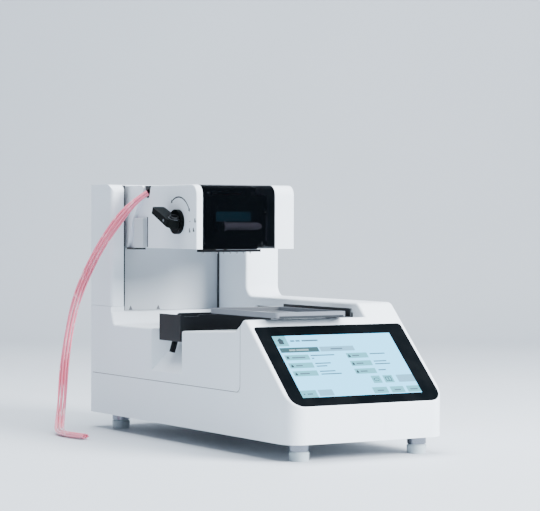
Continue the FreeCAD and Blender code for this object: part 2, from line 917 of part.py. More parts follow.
def tray_pulley(y, axle_x0):
    """A flanged pulley on its axle."""
    drum = rod_x(belt_x0 - 0.1, belt_x0 + belt_w + 0.1, y, pulley_z, tray_pulley_r)
    rim = rod_x(belt_x0 + belt_w + 0.1, belt_x0 + belt_w + 1.2, y, pulley_z, tray_pulley_r + 2.0)
    axle = rod_x(axle_x0, belt_x0, y, pulley_z, pulley_axle_r)
    return drum.fuse([rim, axle]).removeSplitter()


def front_pulley():
    return tray_pulley(pulley_front_y, belt_x0 - 5.0)


def rear_pulley():
    return tray_pulley(pulley_rear_y, belt_x0 - 9.0)


def tray_motor():
    x1 = belt_x0 - 3.0
    half = stepper_side / 2
    c = 3.0
    body = side_plate([
        (pulley_rear_y - half, pulley_z - half, c),
        (pulley_rear_y + half, pulley_z - half, c),
        (pulley_rear_y + half, pulley_z + half, c),
        (pulley_rear_y - half, pulley_z + half, c),
    ], x1 - stepper_len + 1.0, x1)
    bore = rod_x(belt_x0 - 9.5, x1 + 1, pulley_rear_y, pulley_z, pulley_axle_r + run_gap)
    return body.cut(bore)


# Plate tray

def carriage_bracket():
    """The black plate under the tray, its upright right flange and the arm to the slider."""
    y0 = tray_y - tray_l / 2 + 2.0
    y1 = tray_y + tray_l / 2 - 2.0
    under = box(tray_x - tray_w / 2 + 2.0, flange_x1, y0, y1, tray_under_z, tray_under_z + under_t)
    upright = box(flange_x1 - flange_t, flange_x1, y0, y1, tray_under_z, tray_under_z + flange_h)
    arm = box(trough_x1 + 0.5, rail_x + slider_w / 2 - 1.5, arm_y0, arm_y0 + arm_l, arm_z0, tray_under_z)
    return under.fuse([upright, arm]).removeSplitter()


def plate_tray():
    x0 = tray_x - tray_w / 2
    x1 = tray_x + tray_w / 2
    y0 = tray_y - tray_l / 2
    y1 = tray_y + tray_l / 2
    z0 = tray_floor_z - tray_floor_t
    z1 = tray_floor_z + tray_rim_h
    slab = rounded_plan(x0, x1, y0, y1, tray_corner_r, tray_corner_r, z0, z1)
    nest_x = plate_w / 2 + plate_play
    nest_y = plate_l / 2 + plate_play
    nest = rounded_plan(tray_x - nest_x, tray_x + nest_x, tray_y - nest_y, tray_y + nest_y, 3.0, 3.0,
                        tray_floor_z, z1 + 1)
    window = rounded_plan(tray_x - 30.0, tray_x + 30.0, tray_y - 48.0, tray_y + 48.0, 6.0, 6.0, z0 - 1, z1)
    return slab.cut([nest, window])


# Priming trough

def priming_trough():
    """The black trough under the nozzles: basin, gutter, drain block and tilted spout in one moulding."""
    z0 = deck_z + trough_seat
    t = trough_wall
    top = trough_top_z
    low = top - trough_notch
    outer = front_plate([
        (0.6, drain_block_z, 1.0),
        (drain_block_w, drain_block_z, 1.0),
        (drain_block_w, z0),
        (trough_x1, z0),
        (trough_x1, top, 1.5),
        (26.0, top),
        (23.5, low),
        (5.5, low),
        (3.0, top),
        (0.6, top),
    ], trough_y0, trough_y1)
    room = front_plate([
        (0.6 + t, top + 5),
        (0.6 + t, drain_block_z + t),
        (drain_block_w - t, drain_block_z + t),
        (drain_block_w - t, z0 + t),
        (trough_x1 - t, z0 + t + 3.0),
        (trough_x1 - t, top + 5),
    ], trough_y0 + t, trough_y1 - t)
    tilt = math.radians(spout_tilt_deg)
    start = V(spout_x, spout_y, drain_block_z + 1.5)
    aim = V(-math.sin(tilt), 0, -math.cos(tilt))
    spout = Part.makeCylinder(spout_r, spout_len + 1.5, start, aim)
    bore = Part.makeCylinder(spout_bore_r, spout_len + 8.0, start - aim * 4.0, aim)
    return outer.cut(room).fuse(spout).removeSplitter().cut(bore)


# Pump head covers

def head_side(y1, x0, x1, inset):
    """The head's side outline up to the depth y1, drawn in all round by the inset."""
    y0 = head_y0 + inset
    z1 = head_z1 - inset
    return side_plate([
        (y0, head_z0 - (1.0 if inset else 0.0)),
        (y0, z1, head_r - inset),
        (y1, z1),
        (y1, head_z0 - (1.0 if inset else 0.0)),
    ], x0, x1)


def outlet_outline(grow):
    """The funnel-shaped tube outlet in the head's side."""
    return [
        (outlet_y - 7.7 - grow, head_z1 + grow - 0.3),
        (outlet_y - 2.5 - grow, outlet_z - 6.4 - grow, 1.0),
        (outlet_y + 3.6 + grow, outlet_z - 6.4 - grow, 1.0),
        (outlet_y + 7.7 + grow, head_z1 + grow - 0.3),
    ]


def head_left_cover():
    shell = head_side(side_back_y, head_x0, bay_x0, 0.0)

    def rim(edge):
        b = edge.BoundBox
        return on_plane(edge, 0, head_x0) and b.ZMax > head_z0 + 0.1 and b.YMin < side_back_y - 1

    shell = rounded(shell, 1.5, rim)
    room = head_side(side_back_y + 1, head_x0 + wall, bay_x0 + 1, wall)
    boss = box(head_x0 + wall - 0.5, bay_x0, door_axis_y - 4, door_axis_y + 4, door_axis_z - 4, head_wall_in + 0.5)
    lever_hole = rod_x(head_x0 - 1, head_x0 + wall + 1, lever_y, lever_z, lever_shaft_r + run_gap)
    pin_hole = rod_x(bay_x0 - 4.0, bay_x0 + 1, door_axis_y, door_axis_z, door_pin_r)
    outlet = side_plate(outlet_outline(0.3), head_x0 - 1, bay_x0 + 1)
    return shell.cut(room).fuse(boss).removeSplitter().cut([lever_hole, pin_hole, outlet])


def head_housing():
    """Right part, top and back of the head in one moulding."""
    right = head_side(head_y1, bay_x1, head_x1, 0.0)
    right = right.cut(side_plate([
        (head_y0 + wall, head_z0 - 1),
        (head_y0 + wall, head_wall_in, head_r - wall),
        (head_y1 - wall, head_wall_in),
        (head_y1 - wall, head_z0 - 1),
    ], bay_x1 - 1, head_x1 - wall))
    lid_y0 = door_axis_y + door_barrel_r + 3 * door_gap
    lid = flat_plate([
        (bay_x0 + 0.3, lid_y0),
        (bay_x1, lid_y0),
        (bay_x1, head_y1),
        (head_x0 + 3.3, head_y1),
        (head_x0 + 3.3, outlet_y + 9.0),
        (bay_x0 + 0.3, outlet_y + 9.0),
    ], head_wall_in, head_z1)
    back = box(guide_floor_x + 3.4, bay_x1, head_y1 - wall, head_y1, head_z0, head_wall_in)
    boss = box(bay_x1, bay_x1 + 4.0, door_axis_y - 4, door_axis_y + 4, door_axis_z - 4, head_wall_in)
    pin_hole = rod_x(bay_x1 - 1, bay_x1 + 4.0, door_axis_y, door_axis_z, door_pin_r)
    cable_hole = box(cable_x0, cable_x1, head_y1 - wall - 1, head_y1 + 1, cable_z0, cable_z1)
    return right.fuse([lid, back, boss]).removeSplitter().cut([pin_hole, cable_hole])


def tube_cover():
    """The rear part of the head's left side, swept back in a soft S behind the tube outlet."""
    y1 = head_y1 - 0.4
    sweep = [
        (y1, head_z0),
        (y1, head_z1),
        (outlet_y + 13.0, head_z1, 3.0),
        (outlet_y + 11.5, outlet_z - 3.0, 9.0),
        (outlet_y + 22.0, outlet_z - 12.0, 16.0),
        (outlet_y + 37.5, outlet_z - 30.0, 25.0),
        (outlet_y + 45.0, outlet_z - 48.0, 25.0),
        (outlet_y + 52.0, head_z0),
    ]
    below_lid = box(head_x0 - 1, guide_floor_x + 4, guide_y0 - 5, y1 + 1, head_z0 - 1, head_wall_in - 0.1)
    raised = side_plate(sweep, head_x0, guide_floor_x + 0.5).common(below_lid)
    brim = side_plate(sweep, head_x0, head_x0 + wall)
    floor = box(guide_floor_x, guide_floor_x + wall, guide_y0, y1, head_z0, head_wall_in - 0.1)
    outlet = side_plate(outlet_outline(0.3), head_x0 - 1, guide_floor_x + 5)
    return raised.fuse([brim, floor]).removeSplitter().cut(outlet)


def tube_guide_block():
    body = side_plate([
        (guide_block_y0, head_z0),
        (guide_block_y0, guide_block_z, 3.0),
        (guide_block_y1, guide_block_z, 3.0),
        (guide_block_y1, head_z0),
    ], head_x0, guide_floor_x)

    def face_edge(edge):
        return on_plane(edge, 0, head_x0) and edge.BoundBox.ZMax > head_z0 + 0.1

    return rounded(body, 1.2, face_edge)


def tube_outlet():
    funnel = side_plate(outlet_outline(0.0), head_x0 + 0.4, guide_floor_x + wall)
    bore = rod_x(head_x0 - 1, guide_floor_x + 5, outlet_y, outlet_z, outlet_r)
    return funnel.cut(bore)


def head_gasket():
    return box(head_x0 + 0.5, head_x0 + 15.0, guide_block_y1 - 3.5, head_y1 - 5.0, head_z0 - gasket_t, head_z0)


def head_floor():
    x0 = head_x0 + wall + 0.2
    x1 = head_x1 - wall - 0.2
    y0 = nozzle_bar_y0 + nozzle_bar_w + 0.5
    y1 = head_y1 - wall - 0.2
    step_x = guide_floor_x + wall + 0.4
    return flat_plate([
        (x0, y0), (x1, y0), (x1, y1), (step_x, y1), (step_x, guide_y0 - 0.5), (x0, guide_y0 - 0.5),
    ], head_z0, floor_top_z)


# Door and its pins

def door():
    x0 = bay_x0 + door_gap
    x1 = bay_x1 - door_gap
    z0 = head_z0 + 0.6
    shell = side_plate([
        (head_y0, z0),
        (head_y0, head_z1, head_r),
        (door_axis_y, head_z1),
        (door_axis_y, head_z1 - door_t),
        (head_y0 + door_t, head_z1 - door_t, head_r - door_t),
        (head_y0 + door_t, z0),
    ], x0, x1)
    barrel = rod_x(x0, x1, door_axis_y, door_axis_z, door_barrel_r)
    bores = [
        rod_x(x0 - 1, x0 + door_pin_l - 3.0, door_axis_y, door_axis_z, door_pin_r + run_gap),
        rod_x(x1 - door_pin_l + 3.0, x1 + 1, door_axis_y, door_axis_z, door_pin_r + run_gap),
    ]
    return shell.fuse(barrel).removeSplitter().cut(bores)


def hinge_pins():
    left = rod_x(bay_x0 - 3.5, bay_x0 + 3.5, door_axis_y, door_axis_z, door_pin_r)
    right = rod_x(bay_x1 - 3.5, bay_x1 + 3.5, door_axis_y, door_axis_z, door_pin_r)
    return group([left, right])


# Cassette

def tube_cassette():
    """The slide-in cassette: face plate with a rim, ribs behind it and the lip that stands on the head's floor."""
    y0 = cassette_y0
    plate = front_plate([
        (cassette_x0, cassette_z0, 3.0),
        (cassette_x1, cassette_z0, 3.0),
        (cassette_x1, cassette_z1, 5.0),
        (cassette_x0, cassette_z1, 5.0),
    ], y0, cassette_y1)
    recess = front_plate([
        (cassette_x0 + 4, cassette_z0 + 6, 2.0),
        (cassette_x1 - 4, cassette_z0 + 6, 2.0),
        (cassette_x1 - 4, cassette_z1 - 5, 3.0),
        (cassette_x0 + 4, cassette_z1 - 5, 3.0),
    ], y0 - 1, y0 + 0.8)
    panel = front_plate([
        (cassette_x0 + 18, cassette_z0 + 11),
        (cassette_x1 - 9, cassette_z0 + 11),
        (cassette_x1 - 9, cassette_z0 + 42),
        (cassette_x0 + 18, cassette_z0 + 42),
    ], y0, y0 + 1.0)
    lip = box(cassette_x0 + 4, cassette_x1 - 4, cassette_y1 - 3.4, cassette_y1, floor_top_z, cassette_z0 + 1)
    return plate.cut(recess).fuse([panel, lip]).removeSplitter()


def cassette_handle():
    """The round grip bar in its square socket."""
    bar = rod_x(handle_x0, handle_x1 - handle_r, handle_y, handle_z, handle_r)
    tip = Part.makeCone(handle_r, handle_r * 0.45, handle_r, V(handle_x1 - handle_r, handle_y, handle_z), V(1, 0, 0))
    block = box(handle_x0 - socket_block_w, handle_x0 + 2, handle_y - 3.0, cassette_y0,
                handle_z - handle_r - 1.2, handle_z + handle_r + 1.2)
    post = box(handle_x1 - 14.0, handle_x1 - 8.0, handle_y, cassette_y0, handle_z - 2.5, handle_z + 2.5)
    return bar.fuse([tip, block, post]).removeSplitter()


def nozzle_bar():
    y0 = nozzle_bar_y0
    y1 = y0 + nozzle_bar_w
    lip = box(nozzle_bar_x0, nozzle_bar_x1, y0, y1, nozzle_bar_z, nozzle_lip_z)
    upper = box(cassette_x0 + 0.5, nozzle_bar_x1 - 3, y0 + 3.0, y1, nozzle_lip_z - 0.5, cassette_z0)
    return lip.fuse(upper).removeSplitter()


def nozzles():
    tubes = []
    for i in range(channels):
        x = nozzle_x0 + channel_pitch * i
        tubes.append(rod((x, nozzle_y, nozzle_tip_z), (x, nozzle_y, nozzle_bar_z), nozzle_r))
    return group(tubes)


# Bearing plates, bulkhead and pump drive

def bearing_plate(x0, y1, z1, holes):
    plate = side_plate([
        (bearing_y0, floor_top_z),
        (bearing_y0, z1, 6.0),
        (y1, z1, 3.0),
        (y1, floor_top_z),
    ], x0, x0 + bearing_plate_t)
    return plate.cut(holes)


def bearing_plate_left():
    x0 = bearing_left_x
    holes = [
        rod_x(x0 - 1, x0 + bearing_plate_t + 1, rotor_y, rotor_z, bearing_r + bearing_fit),
        rod_x(x0 - 1, x0 + bearing_plate_t + 1, lever_y, lever_z, lever_shaft_r + run_gap),
    ]
    return bearing_plate(x0, bulkhead_y + bulkhead_t, head_z1 - 11.5, holes)


def bearing_plate_right():
    x0 = bearing_right_x
    holes = [
        rod_x(x0 - 1, x0 + bearing_plate_t + 1, rotor_y, rotor_z, bearing_r + bearing_fit),
        rod_x(x0 - 1, x0 + bearing_plate_t + 1, motor_y, rotor_z, motor_pilot_r + 0.1),
    ]
    return bearing_plate(x0, bearing_y1, head_z1 - 9.5, holes)


def head_bulkhead():
    x0 = bearing_left_x + bearing_plate_t + 0.2
    x1 = bearing_right_x - 0.2
    wall_plate = box(x0, x1, bulkhead_y, bulkhead_y + bulkhead_t, floor_top_z, head_wall_in - 0.5)
    holes = []
    for x in guide_rod_xs:
        holes.append(rod((x, bulkhead_y - 1, guide_rod_z), (x, bulkhead_y + bulkhead_t + 1, guide_rod_z),
                         guide_rod_r))
    z = rotor_z + tube_track_r
    slot_x1 = nozzle_x0 + channel_pitch * (channels - 1) + 2.5
    slot = box(nozzle_x0 - 2.5, slot_x1, bulkhead_y - 1, bulkhead_y + bulkhead_t + 1, z - 11.0, z + tube_r + 0.4)
    for x in guide_rod_xs:
        rib = box(x - rod_rib, x + rod_rib, bulkhead_y, bulkhead_y + bulkhead_t,
                  guide_rod_z - 3.5, guide_rod_z + 3.5)
        slot = slot.cut(rib)
    return wall_plate.cut([slot] + holes)


def guide_rods():
    return group([rod((x, guide_rod_y0, guide_rod_z), (x, bulkhead_y + bulkhead_t, guide_rod_z), guide_rod_r)
                  for x in guide_rod_xs])


def rotor_bearings():
    rings = []
    for x0 in (bearing_left_x, bearing_right_x):
        ring = rod_x(x0, x0 + bearing_plate_t, rotor_y, rotor_z, bearing_r)
        rings.append(ring.cut(rod_x(x0 - 1, x0 + bearing_plate_t + 1, rotor_y, rotor_z, shaft_r + run_gap)))
    return group(rings)


def rotor_shaft():
    main = rod_x(bearing_left_x + 0.5, pump_pulley_x + pump_pulley_w + 1.0, rotor_y, rotor_z, shaft_r)
    collar = rod_x(rotor_x1, rotor_x1 + 3.0, rotor_y, rotor_z, shaft_r + 2.0)
    return main.fuse(collar).removeSplitter()


def roller_place(index):
    """The (Y, Z) centre of one roller."""
    angle = math.radians(30.0 + 360.0 / rollers * index)
    return (rotor_y + roller_pitch_r * math.cos(angle), rotor_z + roller_pitch_r * math.sin(angle))


def rotor_flanges():
    """Two discs with the roller axles between them, clamped on the shaft."""
    pieces = []
    for x0 in (rotor_x0, rotor_x1 - rotor_flange_t):
        disc = rod_x(x0, x0 + rotor_flange_t, rotor_y, rotor_z, rotor_flange_r)
        pieces.append(disc)
    for i in range(rollers):
        y, z = roller_place(i)
        pieces.append(rod_x(rotor_x0, rotor_x1, y, z, roller_axle_r))
    whole = pieces[0].fuse(pieces[1:]).removeSplitter()
    return whole.cut(rod_x(rotor_x0 - 1, rotor_x1 + 1, rotor_y, rotor_z, shaft_r))


def roller(index):
    y, z = roller_place(index)
    x0 = rotor_x0 + rotor_flange_t + roller_end_gap
    x1 = rotor_x1 - rotor_flange_t - roller_end_gap
    return rod_x(x0, x1, y, z, roller_r).cut(rod_x(x0 - 1, x1 + 1, y, z, roller_axle_r + run_gap))


def pump_pulley(y, radius, bore_r):
    x0 = pump_pulley_x
    x1 = x0 + pump_pulley_w
    drum = rod_x(x0, x1, y, rotor_z, radius)
    rims = [rod_x(x0 - 0.8, x0, y, rotor_z, radius + 2.4), rod_x(x1, x1 + 0.8, y, rotor_z, radius + 2.4)]
    return drum.fuse(rims).removeSplitter().cut(rod_x(x0 - 2, x1 + 2, y, rotor_z, bore_r))


def rotor_pulley():
    return pump_pulley(rotor_y, rotor_pulley_r, shaft_r)


def motor_pulley():
    """The small pulley with the motor's shaft in it."""
    shaft = rod_x(bearing_right_x - 6.0, pump_pulley_x + pump_pulley_w + 1.0, motor_y, rotor_z, motor_shaft_r)
    return pump_pulley(motor_y, motor_pulley_r, motor_shaft_r).fuse(shaft).removeSplitter()


def pump_belt():
    x0 = pump_pulley_x + (pump_pulley_w - pump_belt_w) / 2
    return belt_loop(x0, x0 + pump_belt_w, (rotor_y, rotor_z), rotor_pulley_r + belt_gap,
                     (motor_y, rotor_z), motor_pulley_r + belt_gap, belt_t)


def pump_motor():
    half = motor_side / 2
    c = motor_chamfer
    x1 = bearing_right_x
    body = side_plate([
        (motor_y - half, rotor_z - half, c), (motor_y + half, rotor_z - half, c),
        (motor_y + half, rotor_z + half, c), (motor_y - half, rotor_z + half, c),
    ], x1 - motor_len, x1)
    waist = body.cut(side_plate([
        (motor_y - half + 2, rotor_z - half + 2, c), (motor_y + half - 2, rotor_z - half + 2, c),
        (motor_y + half - 2, rotor_z + half - 2, c), (motor_y - half + 2, rotor_z + half - 2, c),
    ], x1 - motor_len - 1, x1 + 1)).common(box(x1 - motor_len + 12, x1 - 12, 0, body_d, 0, top_z))
    pilot = rod_x(x1 - 1, x1 + 2.0, motor_y, rotor_z, motor_pilot_r)
    bore = rod_x(bearing_right_x - 7.0, x1 + 3, motor_y, rotor_z, motor_shaft_r + run_gap)
    return body.cut(waist).fuse(pilot).removeSplitter().cut(bore)


# Clamp: lever with its cam pin, and the platen that it draws off the rotor

def lever_frame(radial, across, x):
    """A point of the lever arm: out from the pivot, square to the arm, and at X."""
    rise = math.radians(lever_rise_deg)
    y = lever_y + radial * math.cos(rise) - across * math.sin(rise)
    z = lever_z + radial * math.sin(rise) + across * math.cos(rise)
    return V(x, y, z)


def clamp_lever():
    """Hub disc, a flat-topped arm that stands out to the rear, and the shaft with its cam pin."""
    hub = rod_x(lever_hub_x0, head_x0 - lever_gap, lever_y, lever_z, lever_hub_r)

    x1 = lever_hub_x0 + 0.6
    across = lever_frame(0, 12.0, 0) - lever_frame(0, -12.0, 0)
    plan = Part.Face(outline([
        (-lever_front, lever_arm_x0, 7.0),
        (lever_arm, lever_arm_x0, 2.5),
        (lever_arm, x1, 2.5),
        (-lever_front, x1, 4.0),
    ], lambda p: lever_frame(p.x, -12.0, p.y))).extrude(across)
    side = Part.Face(outline([
        (-lever_front - 1, -3.4),
        (lever_arm + 1, 0.1),
        (lever_arm + 1, 7.4),
        (-lever_front - 1, 5.8),
    ], lambda p: lever_frame(p.x, p.y, lever_arm_x0 - 1))).extrude(V(x1 + 2 - lever_arm_x0, 0, 0))
    arm = plan.common(side)
    shaft = rod_x(lever_hub_x0 + 1, platen_x0 - 0.2, lever_y, lever_z, lever_shaft_r)
    start = math.radians(cam_start_deg)
    pin_y = lever_y + cam_throw * math.cos(start)
    pin_z = lever_z + cam_throw * math.sin(start)
    pin = rod_x(platen_x0 - 1.0, platen_x0 + platen_tab_t + 0.6, pin_y, pin_z, cam_pin_r)
    return hub.fuse([arm, shaft, pin]).removeSplitter()


def clamp_platen():
    """The shoe with its hollow face round the rotor, two lugs on the guide rods and the slotted cam tab."""
    block = box(platen_x0, platen_x1, platen_y0, rotor_y, platen_z0, platen_z1)
    block = block.cut(rod_x(platen_x0 - 1, platen_x1 + 1, rotor_y, rotor_z, platen_r))
    block = block.common(box(platen_x0, platen_x1, platen_y0, rotor_y - 15.0, platen_z0, platen_z1))
    start = math.radians(cam_start_deg)
    pin_y = lever_y + cam_throw * math.cos(start)
    tab = box(platen_x0, platen_x0 + platen_tab_t, platen_y0 + 5, pin_y + 6.5, platen_z0, lever_z + 10.0)
    slot_half = cam_pin_r + cam_pin_gap
    slot = box(platen_x0 - 1, platen_x0 + platen_tab_t + 1, pin_y - slot_half, pin_y + slot_half,
               lever_z - cam_pin_r - 0.6, lever_z + cam_throw + cam_pin_r + 1.0)
    lugs = []
    holes = []
    for x in guide_rod_xs:
        lugs.append(box(x - lug_w / 2, x + lug_w / 2, platen_y0, lug_y1, platen_z1 - 1, guide_rod_z + 4.0))
        holes.append(rod((x, platen_y0 - 1, guide_rod_z), (x, lug_y1 + 1, guide_rod_z), guide_rod_r + run_gap))
    return block.fuse([tab] + lugs).removeSplitter().cut([slot] + holes)


# Tubes

def swept_round(points, radii, radius):
    """A round bar along straight runs joined by tangent arcs, and its length."""
    edges = []
    here = points[0]
    for i in range(1, len(points) - 1):
        corner = points[i]
        back = points[i - 1] - corner
        onward = points[i + 1] - corner
        back.normalize()
        onward.normalize()
        half = back.getAngle(onward) / 2
        run = radii[i - 1] / math.tan(half)
        middle = back + onward
        middle.normalize()
        tip = corner + middle * (radii[i - 1] / math.sin(half) - radii[i - 1])
        start = corner + back * run
        end = corner + onward * run
        edges.append(Part.LineSegment(here, start).toShape())
        edges.append(Part.Arc(start, tip, end).toShape())
        here = end
    edges.append(Part.LineSegment(here, points[-1]).toShape())
    path = Part.Wire(edges)
    ring = Part.Wire([Part.makeCircle(radius, points[0], points[1] - points[0])])
    return path.makePipeShell([ring], True, False), path.Length


def bent_bar(points, radii, section):
    """A bar through the points with tangent bends in one plane; section(point, direction) gives its cross-section."""
    parts = []
    here = points[0]
    for i in range(1, len(points) - 1):
        corner = points[i]
        back = points[i - 1] - corner
        onward = points[i + 1] - corner
        back.normalize()
        onward.normalize()
        turn = math.pi - back.getAngle(onward)
        run = radii[i - 1] * math.tan(turn / 2)
        start = corner + back * run
        middle = back + onward
        middle.normalize()
        centre = corner + middle * (radii[i - 1] / math.cos(turn / 2))
        if (start - here).Length > 1e-6:
            parts.append(section(here, back * -1).extrude(start - here))
        parts.append(section(start, back * -1).revolve(centre, onward.cross(back), math.degrees(turn)))
        here = corner + onward * run
    heading = points[-1] - here
    parts.append(section(here, heading).extrude(heading))
    return parts[0].fuse(parts[1:]).removeSplitter()


def six_sided_section(radius):
    """A six-sided section for bars that lie in planes of constant X."""
    def make(point, heading):
        across = V(1, 0, 0)
        up = across.cross(heading)
        up.normalize()
        corners = []
        for i in range(6):
            angle = math.radians(60.0 * i)
            corners.append(point + across * (radius * math.cos(angle)) + up * (radius * math.sin(angle)))
        return Part.Face(Part.makePolygon(corners + [corners[0]]))
    return make


def pump_tubes():
    """Eight short tubes over the rotor, down its front and forward into the cassette."""
    leave = math.radians(90.0 + tube_leave_deg)
    r = tube_track_r
    corner_front = V(0, rotor_y - r, rotor_z + r)
    off_y = rotor_y - r * math.sin(leave)
    off_z = rotor_z + r * math.cos(leave)
    dive = V(0, -math.cos(leave), -math.sin(leave))
    reach = r * math.tan(math.radians(tube_leave_deg) / 2)
    corner_leave = V(0, rotor_y - r, rotor_z - reach)
    bend = math.radians(90.0 + tube_leave_deg)
    corner_low = V(0, off_y, off_z) + dive * (tube_drop + tube_bend_r * math.tan(bend / 2))
    path = [
        V(0, bulkhead_y + bulkhead_t, rotor_z + r),
        corner_front,
        corner_leave,
        corner_low,
        V(0, cassette_y1, corner_low.z),
    ]
    tubes = []
    for i in range(channels):
        x = nozzle_x0 + channel_pitch * i
        points = [V(x, point.y, point.z) for point in path]
        tubes.append(bent_bar(points, [r, r, tube_bend_r], six_sided_section(tube_r)))
    return group(tubes)


def tube_bundle():
    """The bundle of supply tubes: out of the head, down in one sweep, and along the bench."""
    points = [V(*p) for p in bundle_route]
    radii = []
    for i in range(1, len(points) - 1):
        back = points[i - 1] - points[i]
        onward = points[i + 1] - points[i]
        turn = math.pi - back.getAngle(onward)
        radii.append(0.45 * min(back.Length, onward.Length) / math.tan(turn / 2))
    solid, length = swept_round(points, radii, bundle_r)
    print("tube bundle: length %.1f mm, radii" % length, [round(r) for r in radii])
    print("tube bundle: volume over section times length %.4f" % (solid.Volume / (math.pi * bundle_r ** 2 * length)))
    return solid


pieces = {
    "base_housing": base_housing,
    "base_plate": base_plate,
    "foot_collars": foot_collars,
    "foot_pads": foot_pads,
    "display_glass": display_glass,
    "display_module": display_module,
    "deck_cover": deck_cover,
    "left_column_cover": left_column_cover,
    "spine_housing": spine_housing,
    "rear_cover": rear_cover,
    "main_board": main_board,
    "power_supply": power_supply,
    "power_inlet": power_inlet,
    "switch_frame": switch_frame,
    "power_switch": power_switch,
    "data_port": data_port,
    "drive_frame": drive_frame,
    "linear_rail": linear_rail,
    "tray_slider": tray_slider,
    "drive_belt": drive_belt,
    "front_pulley": front_pulley,
    "rear_pulley": rear_pulley,
    "tray_motor": tray_motor,
    "carriage_bracket": carriage_bracket,
    "plate_tray": plate_tray,
    "priming_trough": priming_trough,
    "head_left_cover": head_left_cover,
    "head_housing": head_housing,
    "tube_cover": tube_cover,
    "tube_guide_block": tube_guide_block,
    "tube_outlet": tube_outlet,
    "head_gasket": head_gasket,
    "head_floor": head_floor,
    "door": door,
    "hinge_pins": hinge_pins,
    "tube_cassette": tube_cassette,
    "cassette_handle": cassette_handle,
    "nozzle_bar": nozzle_bar,
    "nozzles": nozzles,
    "bearing_plate_left": bearing_plate_left,
    "bearing_plate_right": bearing_plate_right,
    "head_bulkhead": head_bulkhead,
    "guide_rods": guide_rods,
    "rotor_bearings": rotor_bearings,
    "rotor_shaft": rotor_shaft,
    "rotor_flanges": rotor_flanges,
    "rotor_pulley": rotor_pulley,
    "motor_pulley": motor_pulley,
    "pump_belt": pump_belt,
    "pump_motor": pump_motor,
    "clamp_lever": clamp_lever,
    "clamp_platen": clamp_platen,
    "pump_tubes": pump_tubes,
    "tube_bundle": tube_bundle,
}
for index in range(rollers):
    pieces["roller_%d" % (index + 1)] = lambda index=index: roller(index)

os.makedirs("parts", exist_ok=True)
for name, make in pieces.items():
    shape = make()
    shape.translate(V(-body_w / 2, -body_d / 2, 0))
    if not shape.isValid():
        print("not valid:", name)
    shape.exportStep("parts/%s.step" % name)
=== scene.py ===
import bmesh
import bpy
import json
import math
from mathutils import Matrix, Vector


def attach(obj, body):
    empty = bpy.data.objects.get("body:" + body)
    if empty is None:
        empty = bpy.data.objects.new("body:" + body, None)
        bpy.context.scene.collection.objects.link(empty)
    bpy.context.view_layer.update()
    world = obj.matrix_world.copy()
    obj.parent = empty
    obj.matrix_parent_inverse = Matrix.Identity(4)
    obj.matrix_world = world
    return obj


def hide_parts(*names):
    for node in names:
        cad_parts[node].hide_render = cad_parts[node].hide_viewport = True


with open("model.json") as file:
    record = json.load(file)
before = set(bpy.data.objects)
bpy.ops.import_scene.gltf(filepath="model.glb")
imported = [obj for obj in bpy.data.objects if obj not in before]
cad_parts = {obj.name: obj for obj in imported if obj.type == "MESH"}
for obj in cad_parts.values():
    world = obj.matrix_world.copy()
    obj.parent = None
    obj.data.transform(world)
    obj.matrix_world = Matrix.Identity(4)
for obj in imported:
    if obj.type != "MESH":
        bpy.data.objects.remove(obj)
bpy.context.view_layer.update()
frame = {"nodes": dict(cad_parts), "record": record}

# Sizes of the dispenser that the pieces below are set out from, in millimetres,
# counted from its left side (X), its front (Y) and the bench (Z).
BODY_W = 203.0
BODY_D = 466.0
FOLD_Z = 58.2
SLOPE = math.radians(44.1)
HEAD_X = 24.0
SPINE_Y = 418.0
LIT_X0 = 22.5
LIT_X1 = 176.3
LIT_LOW = 13.8
LIT_HIGH = 102.5
SCREEN_SINK = 0.1
LEVER_Y = 283.0
LEVER_Z = 252.4
LEVER_RISE = math.radians(20.0)
LEVER_TOP = 6.318
LEVER_FLARE = 0.034
LEVER_BOSS = (-5.6, 13.6)
CASSETTE_Y = 254.0
NOZZLE_BAR_Y = 245.0
TRAY_FRONT_Y = 68.55
BADGE_X = 148.6
BADGE_Z = 37.0
VIEW_YAW = math.radians(31.64)
PHOTO_WIDTH = 540


def at(x, y, z):
    """A place counted in millimetres from the left side, the front and the bench, in metres."""
    return Vector(((x - BODY_W / 2) / 1000, (y - BODY_D / 2) / 1000, z / 1000))


def facing_front(y):
    """Places (x, z, height) over a face that looks to the front and stands at y."""
    return lambda x, z, height: at(x, y - height, z)


def facing_left(x):
    """Places (y, z, height) over a face that looks to the left and stands at x."""
    return lambda y, z, height: at(x - height, y, z)


def on_slope(x, along, up):
    """A place over the sloped front, counted along it from its lower fold."""
    y = along * math.cos(SLOPE) - up * math.sin(SLOPE)
    z = FOLD_Z + along * math.sin(SLOPE) + up * math.cos(SLOPE)
    return at(x, y, z)


# Camera

def aim_camera():
    """The camera stands low at the front left and looks along the dispenser's left side."""
    pitch, roll = math.radians(0.99), math.radians(0.19)
    focal_px = 2090.38
    ahead_flat = Vector((math.sin(VIEW_YAW), math.cos(VIEW_YAW), 0))
    right_flat = Vector((math.cos(VIEW_YAW), -math.sin(VIEW_YAW), 0))
    ahead = ahead_flat * math.cos(pitch) - Vector((0, 0, 1)) * math.sin(pitch)
    up_flat = Vector((0, 0, 1)) * math.cos(pitch) + ahead_flat * math.sin(pitch)
    right = right_flat * math.cos(roll) + up_flat * math.sin(roll)
    up = up_flat * math.cos(roll) - right_flat * math.sin(roll)
    data = bpy.data.cameras.new("camera")
    data.sensor_width = 36.0
    data.sensor_fit = "HORIZONTAL"
    data.lens = focal_px / PHOTO_WIDTH * data.sensor_width
    data.clip_end = 50.0
    camera = bpy.data.objects.new("camera", data)
    bpy.context.scene.collection.objects.link(camera)
    turn = Matrix((right, up, -ahead)).transposed().to_4x4()
    camera.matrix_world = Matrix.Translation(at(-1160.28, -1842.01, 255.56)) @ turn
    bpy.context.scene.camera = camera


# Shader sums

